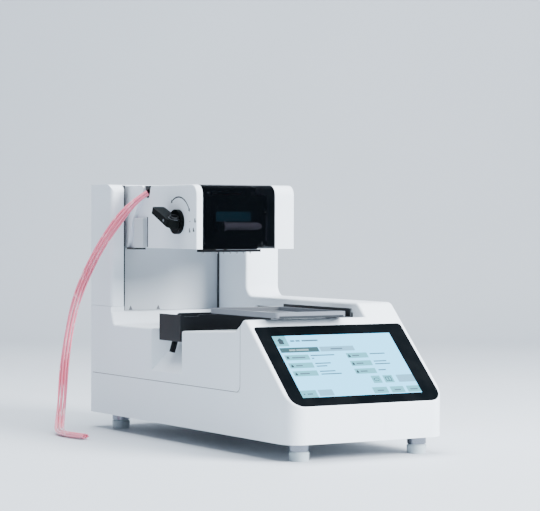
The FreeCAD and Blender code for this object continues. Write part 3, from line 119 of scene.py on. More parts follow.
class Signal:
    """A socket of a finish. Sums of signals add their own nodes."""

    def __init__(self, paint, socket):
        self.paint = paint
        self.socket = socket

    def __add__(self, other):
        return self.paint.sum("ADD", self, other)

    def __radd__(self, other):
        return self.paint.sum("ADD", other, self)

    def __sub__(self, other):
        return self.paint.sum("SUBTRACT", self, other)

    def __rsub__(self, other):
        return self.paint.sum("SUBTRACT", other, self)

    def __mul__(self, other):
        return self.paint.sum("MULTIPLY", self, other)

    def __rmul__(self, other):
        return self.paint.sum("MULTIPLY", other, self)

    def __truediv__(self, other):
        return self.paint.sum("DIVIDE", self, other)

    def over(self, edge, soft=0.02):
        """0 below the edge and 1 above it, with a soft step."""
        return self.paint.node("ShaderNodeMapRange", {"interpolation_type": "SMOOTHSTEP"},
                               {0: self, 1: edge - soft, 2: edge + soft, 3: 0.0, 4: 1.0})


class Paint:
    """One finish: a material with its shader, and the nodes that feed it."""

    def __init__(self, name, colour, roughness, metallic=0.0, coat=0.0, **constants):
        self.material = bpy.data.materials.new(name)
        self.material.use_nodes = True
        self.tree = self.material.node_tree
        self.tree.nodes.clear()
        self.shader = self.tree.nodes.new("ShaderNodeBsdfPrincipled")
        self.output = self.tree.nodes.new("ShaderNodeOutputMaterial")
        self.tree.links.new(self.shader.outputs[0], self.output.inputs[0])
        self.colour = colour
        self.set("Base Color", (*colour, 1.0))
        self.set("Roughness", roughness)
        self.set("Metallic", metallic)
        self.set("Coat Weight", coat)
        for key, value in constants.items():
            self.set(key.replace("_", " "), value)

    def set(self, name, value):
        self.feed(self.shader.inputs[name], value)

    def feed(self, socket, value):
        if isinstance(value, Signal):
            self.tree.links.new(value.socket, socket)
        else:
            socket.default_value = value

    def node(self, kind, settings, values, out=0):
        """A node of that kind: its settings first, then its sockets."""
        made = self.tree.nodes.new(kind)
        for key, value in settings.items():
            setattr(made, key, value)
        for key, value in values.items():
            self.feed(made.inputs[key], value)
        return Signal(self, made.outputs[out])

    def sum(self, operation, first, second):
        return self.node("ShaderNodeMath", {"operation": operation}, {0: first, 1: second})

    def place(self):
        return self.node("ShaderNodeTexCoord", {}, {}, out=3)

    def stretched(self, x, y, z):
        """The object's own coordinates, stretched along the axes."""
        return self.node("ShaderNodeMapping", {}, {"Vector": self.place(), "Scale": (x, y, z)})

    def noise(self, scale, detail=3.0, where=None):
        where = where or self.place()
        return self.node("ShaderNodeTexNoise", {}, {"Vector": where, "Scale": scale, "Detail": detail})

    def mix(self, factor, first, second):
        """One colour over another."""
        def full(colour):
            return colour if isinstance(colour, Signal) else (*colour, 1.0)
        return self.node("ShaderNodeMix", {"data_type": "RGBA"},
                         {0: factor, 6: full(first), 7: full(second)}, out=2)

    def bump(self, height, depth, strength=1.0):
        """Raises the surface by the height signal; depth in metres."""
        raised = {"Height": height, "Distance": depth, "Strength": strength}
        self.set("Normal", self.node("ShaderNodeBump", {}, raised))

    def tint(self, amount):
        """The colour a little lighter and a little darker than it is named."""
        light = [min(1.0, c * (1 + amount)) for c in self.colour]
        return light, [c * (1 - amount) for c in self.colour]


# Finishes

def moulded(name, colour, roughness, coat=0.12, drift=0.025, sheen=0.5):
    """Injection-moulded plastic with a fine spark-eroded grain and a faint drift of tone."""
    paint = Paint(name, colour, roughness, coat=coat, Coat_Roughness=0.3, Specular_IOR_Level=sheen)
    light, dark = paint.tint(drift)
    cloud = paint.noise(9.0, 2.0)
    paint.set("Base Color", paint.mix(cloud, dark, light))
    fine = paint.noise(2600.0, 2.0)
    paint.set("Roughness", roughness + (paint.noise(60.0, 3.0) - 0.5) * 0.09)
    paint.bump(fine, 0.00004, 0.5)
    return paint.material


def turned_metal(name, colour, roughness, streak):
    """Metal with fine tool streaks, drawn out along the axis of the least streak scale."""
    paint = Paint(name, colour, roughness, metallic=1.0)
    light, dark = paint.tint(0.12)
    lines = paint.noise(1.0, 4.0, paint.stretched(*streak))
    paint.set("Base Color", paint.mix(lines, dark, light))
    paint.set("Roughness", roughness + (lines - 0.5) * 0.22)
    paint.bump(lines, 0.00002, 0.35)
    return paint.material


def coated_metal(name, colour, roughness, metallic=0.0):
    """Powder-coated or anodised metal with a fine orange peel."""
    paint = Paint(name, colour, roughness, metallic=metallic)
    light, dark = paint.tint(0.08)
    paint.set("Base Color", paint.mix(paint.noise(14.0, 2.0), dark, light))
    peel = paint.noise(900.0, 2.0)
    paint.set("Roughness", roughness + (peel - 0.5) * 0.12)
    paint.bump(peel, 0.00003, 0.45)
    return paint.material


def soft_rubber(name, colour):
    """Dull rubber with a faint sheen and a fine grain."""
    paint = Paint(name, colour, 0.65, Sheen_Weight=0.15, Sheen_Roughness=0.5)
    light, dark = paint.tint(0.1)
    paint.set("Base Color", paint.mix(paint.noise(45.0, 3.0), dark, light))
    paint.bump(paint.noise(1200.0, 2.0), 0.00003, 0.4)
    return paint.material


def milky_pad():
    """Milky, faintly see-through soft plastic of the foot pads."""
    paint = Paint("milky_pad", (0.40, 0.47, 0.51), 0.32, coat=0.2, Subsurface_Weight=0.35,
                  Subsurface_Scale=0.004, Subsurface_Radius=(1.0, 1.0, 1.0))
    light, dark = paint.tint(0.06)
    paint.set("Base Color", paint.mix(paint.noise(120.0, 2.0), dark, light))
    paint.bump(paint.noise(700.0, 2.0), 0.00004, 0.3)
    return paint.material


def black_glass():
    """The black bezel glass, very smooth, with a breath of finger haze."""
    paint = Paint("black_glass", (0.002, 0.003, 0.004), 0.10, Specular_IOR_Level=0.02)
    haze = paint.noise(38.0, 4.0).over(0.55, 0.2)
    paint.set("Roughness", 0.09 + haze * 0.08)
    paint.set("Base Color", paint.mix(haze, (0.002, 0.003, 0.004), (0.004, 0.005, 0.006)))
    return paint.material


def smoked_clear():
    """Dark smoked clear plastic of the door."""
    paint = Paint("smoked_clear", (0.001, 0.0015, 0.002), 0.10, Specular_IOR_Level=0.02)
    haze = paint.noise(30.0, 3.0)
    paint.set("Roughness", 0.10 + haze * 0.06)
    paint.set("Base Color", paint.mix(haze, (0.001, 0.0015, 0.002), (0.0015, 0.002, 0.003)))
    paint.set("Alpha", 0.60 + haze * 0.04)
    return paint.material


def clear_tube():
    """Clear tubing full of pink liquid: paler along its rim and where small bubbles sit."""
    paint = Paint("pink_tubing", (0.95, 0.30, 0.40), 0.22, coat=0.5, Coat_Roughness=0.08,
                  Subsurface_Weight=0.25, Subsurface_Scale=0.002,
                  Subsurface_Radius=(1.0, 0.35, 0.35))
    bubbles = paint.noise(90.0, 2.0).over(0.62, 0.05)
    rim = paint.node("ShaderNodeLayerWeight", {}, {"Blend": 0.35}, out=1)
    liquid = paint.mix(rim, (0.98, 0.21, 0.33), (0.99, 0.52, 0.60))
    paint.set("Base Color", paint.mix(bubbles * 0.5, liquid, (0.99, 0.70, 0.76)))
    paint.bump(paint.noise(260.0, 2.0), 0.00006, 0.3)
    return paint.material


def circuit_board():
    """Green solder resist with copper tracks under it."""
    paint = Paint("circuit_board", (0.02, 0.16, 0.07), 0.35, coat=0.3)
    cells = paint.node("ShaderNodeTexVoronoi", {"distance": "CHEBYCHEV", "feature": "F1"},
                       {"Vector": paint.place(), "Scale": 160.0})
    tracks = (cells * 14.0).over(0.55, 0.1)
    paint.set("Base Color", paint.mix(tracks, (0.03, 0.24, 0.10), (0.015, 0.13, 0.055)))
    paint.bump(tracks, 0.00003, 0.5)
    return paint.material


def lit(name, colour, strength=1.0):
    """A lit patch of the display, with a faint fall-off of the backlight."""
    paint = Paint(name, (0.02, 0.02, 0.02), 0.2, coat=0.4)
    glow = paint.noise(7.0, 1.0)
    light, dark = [min(1.0, c * 1.02) for c in colour], [c * 0.95 for c in colour]
    paint.set("Emission Color", paint.mix(glow, dark, light))
    paint.shader.inputs["Emission Strength"].default_value = strength
    return paint.material


def ink(name, colour):
    """Pad-printed ink, slightly uneven in cover."""
    paint = Paint(name, colour, 0.55)
    cover = paint.noise(800.0, 2.0)
    light, dark = [min(1.0, c * 1.3 + 0.01) for c in colour], [c * 0.8 for c in colour]
    paint.set("Base Color", paint.mix(cover, dark, light))
    return paint.material


finishes = {
    "housing": moulded("white_moulding", (0.80, 0.865, 0.93), 0.36),
    # Painted shade: the white moulding at 0.688 of its brightness, for housing parts that lie in shadow.
    "housing_grey": moulded("white_moulding_painted_shade", (0.55, 0.595, 0.64), 0.42),
    "sheet_metal": turned_metal("zinc_sheet", (0.62, 0.63, 0.64), 0.38, (60.0, 1400.0, 60.0)),
    "collar_metal": turned_metal("dark_collar", (0.22, 0.24, 0.28), 0.2, (60.0, 60.0, 2600.0)),
    "pad_rubber": milky_pad(),
    "screen_glass": black_glass(),
    "screen": moulded("display_backing", (0.12, 0.12, 0.13), 0.5),
    "circuit_board": circuit_board(),
    "black_plastic": moulded("black_moulding", (0.012, 0.013, 0.015), 0.44, 0.0, drift=0.15, sheen=0.3),
    "bright_steel": turned_metal("ground_steel", (0.78, 0.79, 0.80), 0.2, (900.0, 40.0, 900.0)),
    "belt_rubber": soft_rubber("belt_rubber", (0.02, 0.02, 0.021)),
    "alloy": turned_metal("machined_alloy", (0.74, 0.75, 0.77), 0.32, (500.0, 60.0, 500.0)),
    "motor_black": coated_metal("motor_black", (0.02, 0.02, 0.022), 0.45),
    "black_metal": coated_metal("black_coat", (0.014, 0.016, 0.019), 0.42),
    "tray_metal": coated_metal("grey_anodised", (0.29, 0.31, 0.345), 0.36, 0.75),
    "trough_plastic": moulded("trough_black", (0.006, 0.007, 0.009), 0.34, 0.05, drift=0.15, sheen=0.2),
    "black_rubber": soft_rubber("black_rubber", (0.015, 0.015, 0.016)),
    "smoked_door": smoked_clear(),
    "cassette_plastic": moulded("cassette_black", (0.004, 0.005, 0.007), 0.5, 0.0,
                                drift=0.15, sheen=0.1),
    "nozzle_plastic": moulded("nozzle_bar_black", (0.005, 0.006, 0.007), 0.34, 0.0,
                              drift=0.1, sheen=0.12),
    "lever_plastic": moulded("lever_black", (0.003, 0.004, 0.004), 0.44, 0.0,
                             drift=0.15, sheen=0.06),
    "tube_pink": clear_tube(),
    "roller_steel": turned_metal("polished_roller", (0.80, 0.80, 0.82), 0.14, (40.0, 900.0, 900.0)),
}
handle_finish = moulded("handle_grey", (0.42, 0.39, 0.52), 0.42, drift=0.08)
label_finish = ink("label_blue", (0.016, 0.12, 0.20))
print_finish = ink("grey_print", (0.012, 0.015, 0.020))
mark_finish = ink("mark_grey", (0.12, 0.13, 0.145))
# Dark ink for joint lines, and for painted shadow in the gaps and under the tray.
joint_and_shadow_finish = ink("joint_and_painted_shadow", (0.016, 0.019, 0.024))
# Matte black for the lever's hollow boss: black plastic, with painted shade in the hollow.
recess_shade_finish = ink("black_painted_recess_shade", (0.004, 0.005, 0.006))


# Pieces

def piece(name, mesh, body, finish):
    """A piece of the scene that moves with the body, in its finish and material slot."""
    made = bpy.data.objects.new(name, mesh)
    bpy.context.scene.collection.objects.link(made)
    mesh.materials.append(finish)
    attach(made, body)
    return made


def mesh_of(name, solids):
    """One mesh of several closed solids, each given as (corner list, face list)."""
    points, faces = [], []
    for corners, sides in solids:
        base = len(points)
        points.extend(corners)
        faces.extend([tuple(base + i for i in side) for side in sides])
    mesh = bpy.data.meshes.new(name)
    mesh.from_pydata([tuple(p) for p in points], [], faces)
    shaped = bmesh.new()
    shaped.from_mesh(mesh)
    bmesh.ops.recalc_face_normals(shaped, faces=shaped.faces)
    shaped.to_mesh(mesh)
    shaped.free()
    return mesh


def slab(shape, place, low, high):
    """A flat shape of (u, v) corners, drawn out between two heights by place(u, v, height)."""
    count = len(shape)
    corners = [place(u, v, low) for u, v in shape] + [place(u, v, high) for u, v in shape]
    sides = [tuple(range(count)), tuple(range(2 * count - 1, count - 1, -1))]
    sides += [(i, (i + 1) % count, count + (i + 1) % count, count + i) for i in range(count)]
    return corners, sides


def oblong(u0, u1, v0, v1, radius=0.0, steps=4):
    """A rectangle, with round corners where a radius is given."""
    if radius <= 0:
        return [(u0, v0), (u1, v0), (u1, v1), (u0, v1)]
    shape = []
    for cu, cv, start in ((u1 - radius, v0 + radius, -90), (u1 - radius, v1 - radius, 0),
                          (u0 + radius, v1 - radius, 90), (u0 + radius, v0 + radius, 180)):
        for i in range(steps + 1):
            angle = math.radians(start + 90 * i / steps)
            shape.append((cu + radius * math.cos(angle), cv + radius * math.sin(angle)))
    return shape


def ring_band(outer, inner):
    """The band between two loops of the same count, as four-sided shapes."""
    count = len(outer)
    return [[outer[i], outer[(i + 1) % count], inner[(i + 1) % count], inner[i]] for i in range(count)]


def disc(u, v, radius, sides=20):
    """A circle round (u, v), as a loop of straight sides."""
    turns = [2 * math.pi * i / sides for i in range(sides)]
    return [(u + radius * math.cos(a), v + radius * math.sin(a)) for a in turns]


def arc_band(u, v, radius, width, start, end, steps=24):
    """A curved stroke round (u, v), from one angle to the other."""
    angles = [math.radians(start + (end - start) * i / steps) for i in range(steps + 1)]

    def edge(r):
        return [(u + r * math.cos(a), v + r * math.sin(a)) for a in angles]

    outside, inside = edge(radius + width / 2), edge(radius - width / 2)
    return [[outside[i], outside[i + 1], inside[i + 1], inside[i]] for i in range(steps)]


def shade_smooth(obj):
    """Smooth shading, with edges of 60 degrees and more kept sharp."""
    obj.data.polygons.foreach_set("use_smooth", [True] * len(obj.data.polygons))
    obj.data.set_sharp_from_angle(angle=math.radians(60.0))


# Supply tubes

def route_line(route):
    """The points, in metres, of the smooth line that the route's points pull along."""
    curve = bpy.data.curves.new("tube_route", "CURVE")
    curve.dimensions = "3D"
    spline = curve.splines.new("NURBS")
    spline.points.add(len(route) - 1)
    for point, (x, y, z) in zip(spline.points, route):
        point.co = (*at(x, y, z), 1.0)
    spline.order_u = 3
    spline.use_endpoint_u = True
    spline.resolution_u = 14
    carrier = bpy.data.objects.new("tube_route", curve)
    bpy.context.scene.collection.objects.link(carrier)
    bpy.context.view_layer.update()
    line = bpy.data.meshes.new_from_object(carrier)
    path = [v.co.copy() for v in line.vertices]
    bpy.data.objects.remove(carrier)
    bpy.data.meshes.remove(line)
    return path


def frames_along(path, broad):
    """Two directions across the path at each of its points, the first as near to broad as it can be."""
    frames = []
    for i in range(len(path)):
        heading = (path[min(i + 1, len(path) - 1)] - path[max(i - 1, 0)]).normalized()
        side = (broad - heading * broad.dot(heading)).normalized()
        frames.append((side, heading.cross(side)))
    return frames


def strand_tube(path, frames, run, strand):
    """One thin tube of the bundle: the last one is its core, and seven lie in a loose ring round it."""
    strand_r, ring_r, sides, ring_count = 0.00108, 0.00247, 10, 7
    corners, faces = [], []
    for i, (centre, (u, v)) in enumerate(zip(path, frames)):
        spread = min(1.0, max(0.0, (run[i] - 0.008) / 0.045))
        spread = spread * spread * (3 - 2 * spread)
        wide = 1.0 + 0.85 * spread + 0.12 * math.sin(run[i] * 24.0)
        flat = 1.0 - 0.15 * spread
        twist = 0.35 * math.sin(run[i] * 11.0) + 0.15 * math.sin(run[i] * 31.0 + 1.3)
        angle = 2 * math.pi * strand / ring_count + twist
        loose = 1.0 + 0.05 * math.sin(run[i] * 60.0 + strand * 1.7)
        ring = u * (math.cos(angle) * wide) + v * (math.sin(angle) * flat)
        offset = Vector((0, 0, 0)) if strand == ring_count else ring * (ring_r * loose)
        for k in range(sides):
            turn = 2 * math.pi * k / sides
            corners.append(centre + offset + (u * math.cos(turn) + v * math.sin(turn)) * strand_r)
    for i in range(len(path) - 1):
        for k in range(sides):
            n = (k + 1) % sides
            faces.append((i * sides + k, i * sides + n, (i + 1) * sides + n, (i + 1) * sides + k))
    last = (len(path) - 1) * sides
    faces.append(tuple(range(sides - 1, -1, -1)))
    faces.append(tuple(last + k for k in range(sides)))
    return corners, faces


def supply_tubes():
    """Eight thin tubes lying together along one loose line, from the outlet down to the bench."""
    route = [
        (23.6, 358.0, 287.0),
        (9.0, 366.0, 276.0),
        (-5.0, 382.0, 252.0),
        (-19.0, 399.0, 222.0),
        (-31.0, 413.0, 188.0),
        (-40.0, 424.0, 152.0),
        (-45.0, 431.0, 114.0),
        (-49.0, 434.0, 78.0),
        (-53.0, 431.0, 45.0),
        (-62.0, 418.0, 17.0),
        (-77.0, 391.0, 3.9),
        (-83.0, 357.0, 3.9),
        (-75.0, 325.0, 3.9),
    ]
    path = route_line(route)
    frames = frames_along(path, Vector((0.851, -0.525, 0.0)))
    run = [0.0]
    for i in range(1, len(path)):
        run.append(run[-1] + (path[i] - path[i - 1]).length)
    mesh = mesh_of("supply_tubes", [strand_tube(path, frames, run, strand) for strand in range(8)])
    tubes = piece("supply_tubes", mesh, "base", finishes["tube_pink"])
    shade_smooth(tubes)
    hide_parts("tube_bundle")
    at(23.6, 358.0, 287.0)


# Display picture: generic bars, tiles and signs

def screen_place(u, v, height):
    """u from 0 at the lit area's left to 1 at its right, v from 0 at its top to 1 at its bottom."""
    x = LIT_X0 + u * (LIT_X1 - LIT_X0)
    return on_slope(x, LIT_HIGH - v * (LIT_HIGH - LIT_LOW), height - SCREEN_SINK)


def display_picture():
    """The lit picture, in thin layers: ground, tiles, then the signs and bars on them."""
    low, middle, high = 0.02, 0.03, 0.04
    round_off = 0.006
    rows = (0.315, 0.445, 0.575)

    def layer(name, shapes, height, finish):
        mesh = mesh_of(name, [slab(s, screen_place, 0.0, height) for s in shapes])
        piece(name, mesh, "base", finish)

    def tile(u0, u1, v0, v1):
        return oblong(u0, u1, v0, v1, round_off)

    layer("screen_ground", [oblong(0, 1, 0, 1)], low, lit("lit_ground", (0.14, 0.62, 1.0), 4.2))
    tiles = [oblong(0.0, 0.105, 0.0, 0.17)]
    tiles += [tile(u, u + 0.20, v, v + 0.085) for u, v in zip((0.02, 0.02, 0.022), rows)]
    tiles += [tile(0.535, 0.535 + 0.178, v, v + 0.085) for v in rows]
    tiles += [oblong(0.0, 0.13, 0.885, 1.0)]
    tiles += [tile(u0, u1, 0.885, 0.985) for u0, u1 in ((0.60, 0.725), (0.75, 0.865), (0.89, 1.0))]
    tiles += [tile(u0, u1, 0.70, 0.82) for u0, u1 in ((0.64, 0.715), (0.74, 0.82))]
    layer("screen_tiles", tiles, middle, lit("lit_tiles", (0.14, 0.66, 0.84), 1.8))
    pale = [oblong(0.34, 0.63, 0.195, 0.275), tile(0.145, 0.265, 0.885, 0.985),
            tile(0.855, 1.0, 0.70, 0.82)]
    layer("screen_pale_tiles", pale, middle, lit("lit_pale_tiles", (0.22, 0.62, 0.92), 1.9))
    tab = [oblong(0.01, 0.33, 0.195, 0.275)]
    layer("screen_tab", tab, middle, lit("lit_tab", (0.006, 0.17, 0.22), 1.0))

    house = [(0.022, 0.085), (0.052, 0.032), (0.082, 0.085), (0.072, 0.085), (0.072, 0.135),
             (0.032, 0.135), (0.032, 0.085)]
    drop = [(0.0, -0.028), (0.012, 0.008), (0.008, 0.024), (-0.008, 0.024), (-0.012, 0.008)]
    drop_places = ((0.045, 0.49), (0.045, 0.62), (0.555, 0.36), (0.555, 0.49), (0.555, 0.62))
    signs = [house, oblong(0.033, 0.053, 0.335, 0.375)]
    signs += [[(u + a, v + b) for a, b in drop] for u, v in drop_places]
    signs += [disc(0.025, 0.945, 0.008)]
    signs += ring_band(oblong(0.755, 0.805, 0.725, 0.795), oblong(0.761, 0.799, 0.735, 0.785))
    signs += [oblong(0.777, 0.783, 0.725, 0.795)]
    signs += arc_band(0.678, 0.76, 0.022, 0.007, 20, 340, 16)
    layer("screen_signs", signs, high, lit("lit_signs", (0.004, 0.07, 0.11), 1.0))

    bars = [oblong(u0, u1, 0.075, 0.10) for u0, u1 in ((0.13, 0.165), (0.175, 0.21), (0.225, 0.36))]
    line_sets = ((0.235, 0.325, (0.20, 0.02)), (0.24, 0.455, (0.13, 0.09)), (0.245, 0.585, (0.13, 0.17)),
                 (0.735, 0.33, (0.13,)), (0.735, 0.455, (0.11, 0.13)), (0.735, 0.60, (0.065,)))
    for u, v, widths in line_sets:
        for i, width in enumerate(widths):
            bars.append(oblong(u, u + width, v + i * 0.045, v + i * 0.045 + 0.018))
    single_lines = ((0.075, 0.35, 0.11), (0.075, 0.48, 0.055), (0.075, 0.61, 0.08), (0.58, 0.35, 0.06),
                    (0.58, 0.48, 0.06), (0.58, 0.61, 0.06), (0.05, 0.935, 0.045), (0.635, 0.93, 0.055),
                    (0.78, 0.93, 0.055), (0.915, 0.93, 0.065), (0.43, 0.225, 0.10))
    bars += [oblong(u, u + width, v, v + 0.02) for u, v, width in single_lines]
    layer("screen_bars", bars, high, lit("lit_bars", (0.13, 0.31, 0.45), 1.0))
    tab_bars = [oblong(u0, u1, 0.225, 0.25) for u0, u1 in ((0.085, 0.135), (0.142, 0.245))]
    layer("screen_tab_bar", tab_bars, high, lit("lit_tab_bar", (0.50, 0.80, 0.90), 1.2))


# Prints and marks

def head_prints():
    """The curved double arrow over the lever and four small signs in front of it."""
    arc_r, stroke, half_head, head_turn = 28.8, 1.7, 2.4, 0.13
    first, last = 57, 149
    shapes = arc_band(LEVER_Y, LEVER_Z, arc_r, stroke, first, last)
    for angle, heading in ((first, -1), (last, 1)):
        a = math.radians(angle)
        tip_a = a + heading * head_turn
        y, z = LEVER_Y + arc_r * math.cos(a), LEVER_Z + arc_r * math.sin(a)
        tip = (LEVER_Y + arc_r * math.cos(tip_a), LEVER_Z + arc_r * math.sin(tip_a))
        out = (math.cos(a) * half_head, math.sin(a) * half_head)
        shapes.append([(y + out[0], z + out[1]), tip, (y - out[0], z - out[1])])
    # Each sign by its place and its height. A tall one has a round top and a stroke beside it.
    signs = ((256.1, 253.4, 2.0), (244.5, 254.0, 4.6), (257.2, 242.4, 4.6), (247.9, 243.1, 4.6))
    for y, z, tall in signs:
        foot, top = z - tall / 2, z + tall / 2
        shapes.append(oblong(y - 1.2, y + 1.2, foot, top - 1.2, 0.4, 2))
        if tall > 3:
            shapes.append(disc(y, top - 0.6, 1.0, 10))
            shapes.append(oblong(y - 2.3, y - 1.6, foot, z - 0.2))
    mesh = mesh_of("head_prints", [slab(s, facing_left(HEAD_X), 0.0, 0.05) for s in shapes])
    piece("head_prints", mesh, "base", print_finish)


def wall_marks():
    """Two small triangular index marks low on the wall behind the plate."""
    shapes = [[(x - 2.6, 144.6), (x + 2.6, 144.6), (x, 150.2)] for x in (32.7, 71.0)]
    mesh = mesh_of("wall_marks", [slab(s, facing_front(SPINE_Y), 0.0, 0.25) for s in shapes])
    piece("wall_marks", mesh, "base", mark_finish)


def badge_place():
    """The bare badge place on the front: a low raised plate with a fine edge."""
    def plate(half_w, half_h, radius):
        return oblong(BADGE_X - half_w, BADGE_X + half_w, BADGE_Z - half_h, BADGE_Z + half_h, radius, 5)

    on_front = facing_front(0.0)
    outer, inner = plate(27, 11, 1.6), plate(26.4, 10.4, 1.2)
    rim = [slab(s, on_front, 0.0, 0.12) for s in ring_band(outer, inner)]
    mesh = mesh_of("badge_place", rim + [slab(inner, on_front, 0.0, 0.07)])
    piece("badge_place", mesh, "base", finishes["housing"])


def cassette_trim():
    """The cassette's label plate, the rib at its right and the black foot of its handle."""
    def trim(name, shape, height, finish):
        mesh = mesh_of(name, [slab(shape, facing_front(CASSETTE_Y), 0.0, height)])
        piece(name, mesh, "base", finish)

    trim("cassette_label", oblong(57.4, 104.6, 253.0, 264.5, 1.8, 5), 0.35, label_finish)
    trim("cassette_rib", oblong(125.2, 126.2, 230.5, 261.0, 0.4, 2), 0.3, handle_finish)
    trim("handle_bracket", oblong(55.0, 63.6, 240.8, 252.9, 1.0, 3), 9.0, finishes["cassette_plastic"])


# Small screws

def screw(centre, out, radius):
    """A pan-head screw with a cross recess, as (corners, faces), its axis along out."""
    out = out.normalized()
    u = out.orthogonal().normalized()
    v = out.cross(u)
    sides = 24
    head = ((1.0, 0.0), (1.0, 0.45), (0.86, 0.72), (0.6, 0.82))
    corners, faces = [], [tuple(range(sides))]

    def corner(i, reach, height):
        a = 2 * math.pi * i / sides
        across = (u * math.cos(a) + v * math.sin(a)) * (radius * reach / 1000)
        corners.append(centre + across + out * (height * radius / 2000))

    for reach, height in head:
        for i in range(sides):
            corner(i, reach, height)
    for i in range(sides):
        in_slot = i % 6 == 0
        corner(i, 0.52 if in_slot else 0.16, 0.30 if in_slot else 0.78)
    for k in range(len(head)):
        for i in range(sides):
            n = (i + 1) % sides
            faces.append((k * sides + i, k * sides + n, (k + 1) * sides + n, (k + 1) * sides + i))
    faces.append(tuple(len(head) * sides + i for i in range(sides)))
    return corners, faces


def screws():
    """The screws that hold the covers, the pump's motor, the cassette and the mains inlet."""
    def set_of(name, places, out, radius):
        mesh = mesh_of(name, [screw(at(*p), Vector(out), radius) for p in places])
        piece(name, mesh, "base", finishes["bright_steel"])

    plate_z = 19.0
    below = [(x, y, plate_z) for x in (12, 191) for y in (60, 170, 290, 395)]
    below += [(BODY_W / 2, y, plate_z) for y in (12, 454)]
    set_of("cassette_screws", [(42.9, 253.9, 228.0), (119.5, 253.9, 228.0), (124.8, 253.9, 264.7)],
           (0, -1, 0), 1.7)
    set_of("rear_cover_screws", [(x, BODY_D, z) for z in (150, 288) for x in (27, 147)], (0, 1, 0), 2.4)
    set_of("base_plate_screws", below, (0, 0, -1), 2.6)
    set_of("motor_screws", [(68.6, 376 + a, 257 + b) for a in (-23.5, 23.5) for b in (-23.5, 23.5)],
           (-1, 0, 0), 2.2)
    set_of("inlet_screws", [(147.2, BODY_D, 43.0), (184.8, BODY_D, 43.0)], (0, 1, 0), 2.0)


# Tray, lever, joints, and painted shade and highlights

def tray_edge():
    """The dark lower edge along the tray's front: the edge of the black plate under the tray, with
    painted shadow beneath it.
    """
    edge = slab(oblong(29.0, 112.0, 149.15, 151.0, 0.3, 2), facing_front(TRAY_FRONT_Y), -0.1, 0.2)
    piece("tray_plate_edge_and_shadow", mesh_of("tray_plate_edge_and_shadow", [edge]), "tray", joint_and_shadow_finish)


def on_lever(radial, x, height):
    """A place over the flat top of the lever's arm, counted out from its pivot."""
    across = LEVER_TOP + LEVER_FLARE * radial + height
    return at(x, LEVER_Y + radial * math.cos(LEVER_RISE) - across * math.sin(LEVER_RISE),
              LEVER_Z + radial * math.sin(LEVER_RISE) + across * math.cos(LEVER_RISE))


def lever_boss():
    """The low hollow boss over the lever's pivot, black with painted shade in its hollow, the lip at its
    foot as a painted highlight, and the arm's grub screw.
    """
    def bands(outer, inner, height):
        loops = disc(*LEVER_BOSS, outer, 32), disc(*LEVER_BOSS, inner, 32)
        return [slab(s, on_lever, -0.3, height) for s in ring_band(*loops)]

    boss = bands(5.6, 4.3, 3.0) + [slab(disc(*LEVER_BOSS, 4.4, 32), on_lever, -0.3, 0.1)]
    piece("lever_boss", mesh_of("lever_boss", boss), "lever", recess_shade_finish)
    # Painted highlight: a grey metal ring at the boss's foot stands in for the bright lip on the black
    # lever.
    lip = mesh_of("lever_lip_painted_highlight", bands(6.3, 5.6, 0.45))
    piece("lever_lip_painted_highlight", lip, "lever", finishes["tray_metal"])
    grub = mesh_of("lever_screw", [screw(at(3.25, 281.4, 254.1), Vector((-1, 0, 0)), 1.5)])
    piece("lever_screw", grub, "lever", finishes["tray_metal"])


def seams():
    """Dark joint lines between the mouldings on the lid and the deck, dark strips of painted shadow in
    the gaps beside the columns and the guide block, and a painted highlight along the nozzle bar's edge.
    """
    def upright(x0, x1, y0, y1, z0, z1):
        return slab(oblong(x0, x1, y0, y1), at, z0, z1)

    # Painted shadow: dark strips set in the gaps beside the left and right columns and the guide block.
    # The lid edge is a dark joint line.
    left_column = upright(18.0, 19.9, 408.5, 417.9, 144.6, 296.0)
    right_column = upright(154.6, 155.75, 414.4, 417.95, 144.6, 220.8)
    guide_groove = upright(24.3, 28.8, 357.6, 361.0, 222.0, 258.0)
    lid_edge = upright(36.0, 129.8, 292.3, 292.7, 291.6, 295.4)
    shadow_and_joint_strips = mesh_of("gap_shadows_and_lid_joint", [left_column, right_column, guide_groove, lid_edge])
    piece("gap_shadows_and_lid_joint", shadow_and_joint_strips, "base", joint_and_shadow_finish)
    line = [oblong(110.0, 455.0, 67.3, 67.95), oblong(101.85, 102.5, 75.4, 140.0)]
    line += arc_band(110.0, 75.4, 7.8, 0.65, 180, 270, 8)
    joint = mesh_of("deck_joint", [slab(s, facing_left(0.0), -0.1, 0.04) for s in line])
    piece("deck_joint", joint, "base", joint_and_shadow_finish)
    # Painted highlight: two thin bright strips in the grey metal finish along the nozzle bar's lower
    # edge stand in for the reflection there.
    edges = [oblong(x0, x1, 220.2, 220.6) for x0, x1 in ((52.0, 62.5), (66.5, 110.5))]
    trim = mesh_of("nozzle_bar_painted_highlight", [slab(s, facing_front(NOZZLE_BAR_Y), -0.1, 0.12) for s in edges])
    piece("nozzle_bar_painted_highlight", trim, "base", finishes["tray_metal"])


# Stage

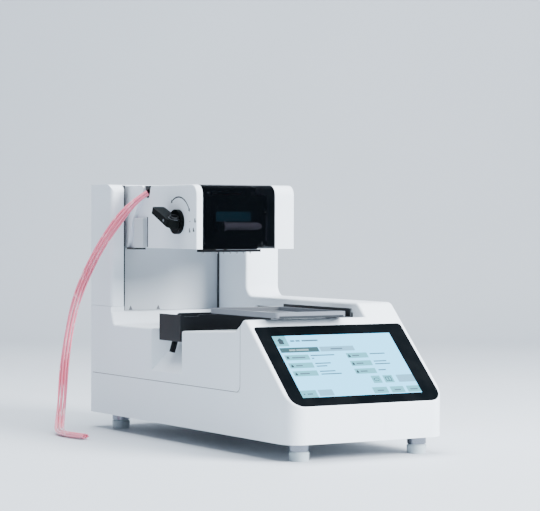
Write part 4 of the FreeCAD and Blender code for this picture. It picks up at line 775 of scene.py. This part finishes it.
def studio():
    """A pale bench and wall in one sweep, soft light from above and both sides; sizes in metres."""
    front, fold, sweep_r, top, half_wide = -2.6, 1.9, 0.8, 3.4, 4.5
    profile = [(front, 0.0), (fold, 0.0)]
    for i in range(1, 13):
        angle = math.radians(90 * i / 12)
        profile.append((fold + sweep_r * math.sin(angle), sweep_r - sweep_r * math.cos(angle)))
    profile.append((fold + sweep_r, top))
    along = Vector((math.sin(VIEW_YAW), math.cos(VIEW_YAW), 0))
    across = Vector((math.cos(VIEW_YAW), -math.sin(VIEW_YAW), 0))
    corners = []
    for side in (-half_wide, half_wide):
        corners += [along * y + across * side + Vector((0, 0, z)) for y, z in profile]
    count = len(profile)
    mesh = bpy.data.meshes.new("backdrop")
    faces = [(i, i + 1, count + i + 1, count + i) for i in range(count - 1)]
    mesh.from_pydata([tuple(c) for c in corners], [], faces)
    backdrop = bpy.data.objects.new("backdrop", mesh)
    bpy.context.scene.collection.objects.link(backdrop)
    mesh.polygons.foreach_set("use_smooth", [True] * len(mesh.polygons))
    paper = Paint("pale_bench", (0.60, 0.645, 0.70), 0.55)
    light, dark = paper.tint(0.03)
    paper.set("Base Color", paper.mix(paper.noise(3.0, 3.0), dark, light))
    paper.bump(paper.noise(400.0, 2.0), 0.00005, 0.2)
    mesh.materials.append(paper.material)

    def lamp(name, place, target, size, power, colour):
        data = bpy.data.lights.new(name, "AREA")
        data.shape = "RECTANGLE"
        data.size = data.size_y = size
        data.energy = power
        data.color = colour
        lamp_object = bpy.data.objects.new(name, data)
        bpy.context.scene.collection.objects.link(lamp_object)
        lamp_object.visible_glossy = False
        lamp_object.location = place
        heading = Vector(target) - Vector(place)
        lamp_object.rotation_euler = heading.to_track_quat("-Z", "Y").to_euler()

    lamp("front_right_softbox", (1.1, -1.9, 1.2), (0.0, -0.05, 0.12), 1.2, 245, (0.97, 0.985, 1.0))
    lamp("top_softbox", (0.0, 0.1, 2.0), (0.0, 0.0, 0.1), 1.8, 100, (0.93, 0.97, 1.0))
    lamp("left_fill", (-2.2, 0.1, 1.0), (0.0, 0.1, 0.15), 1.6, 5, (0.90, 0.96, 1.0))
    world = bpy.data.worlds.new("studio_air")
    world.use_nodes = True
    air = world.node_tree.nodes["Background"]
    air.inputs["Color"].default_value = (0.75, 0.86, 1.0, 1.0)
    air.inputs["Strength"].default_value = 0.5
    bpy.context.scene.world = world


def dress_nodes():
    """Every node of the model gets the finish that its record slot names."""
    slots = {row["node"]: row["material_slot"] for row in frame["record"]["subparts"]}
    for name, node in frame["nodes"].items():
        finish = handle_finish if name == "cassette_handle" else finishes[slots[name]]
        node.data.materials.clear()
        node.data.materials.append(finish)


aim_camera()
supply_tubes()
dress_nodes()
display_picture()
head_prints()
wall_marks()
badge_place()
cassette_trim()
screws()
tray_edge()
lever_boss()
seams()
studio()
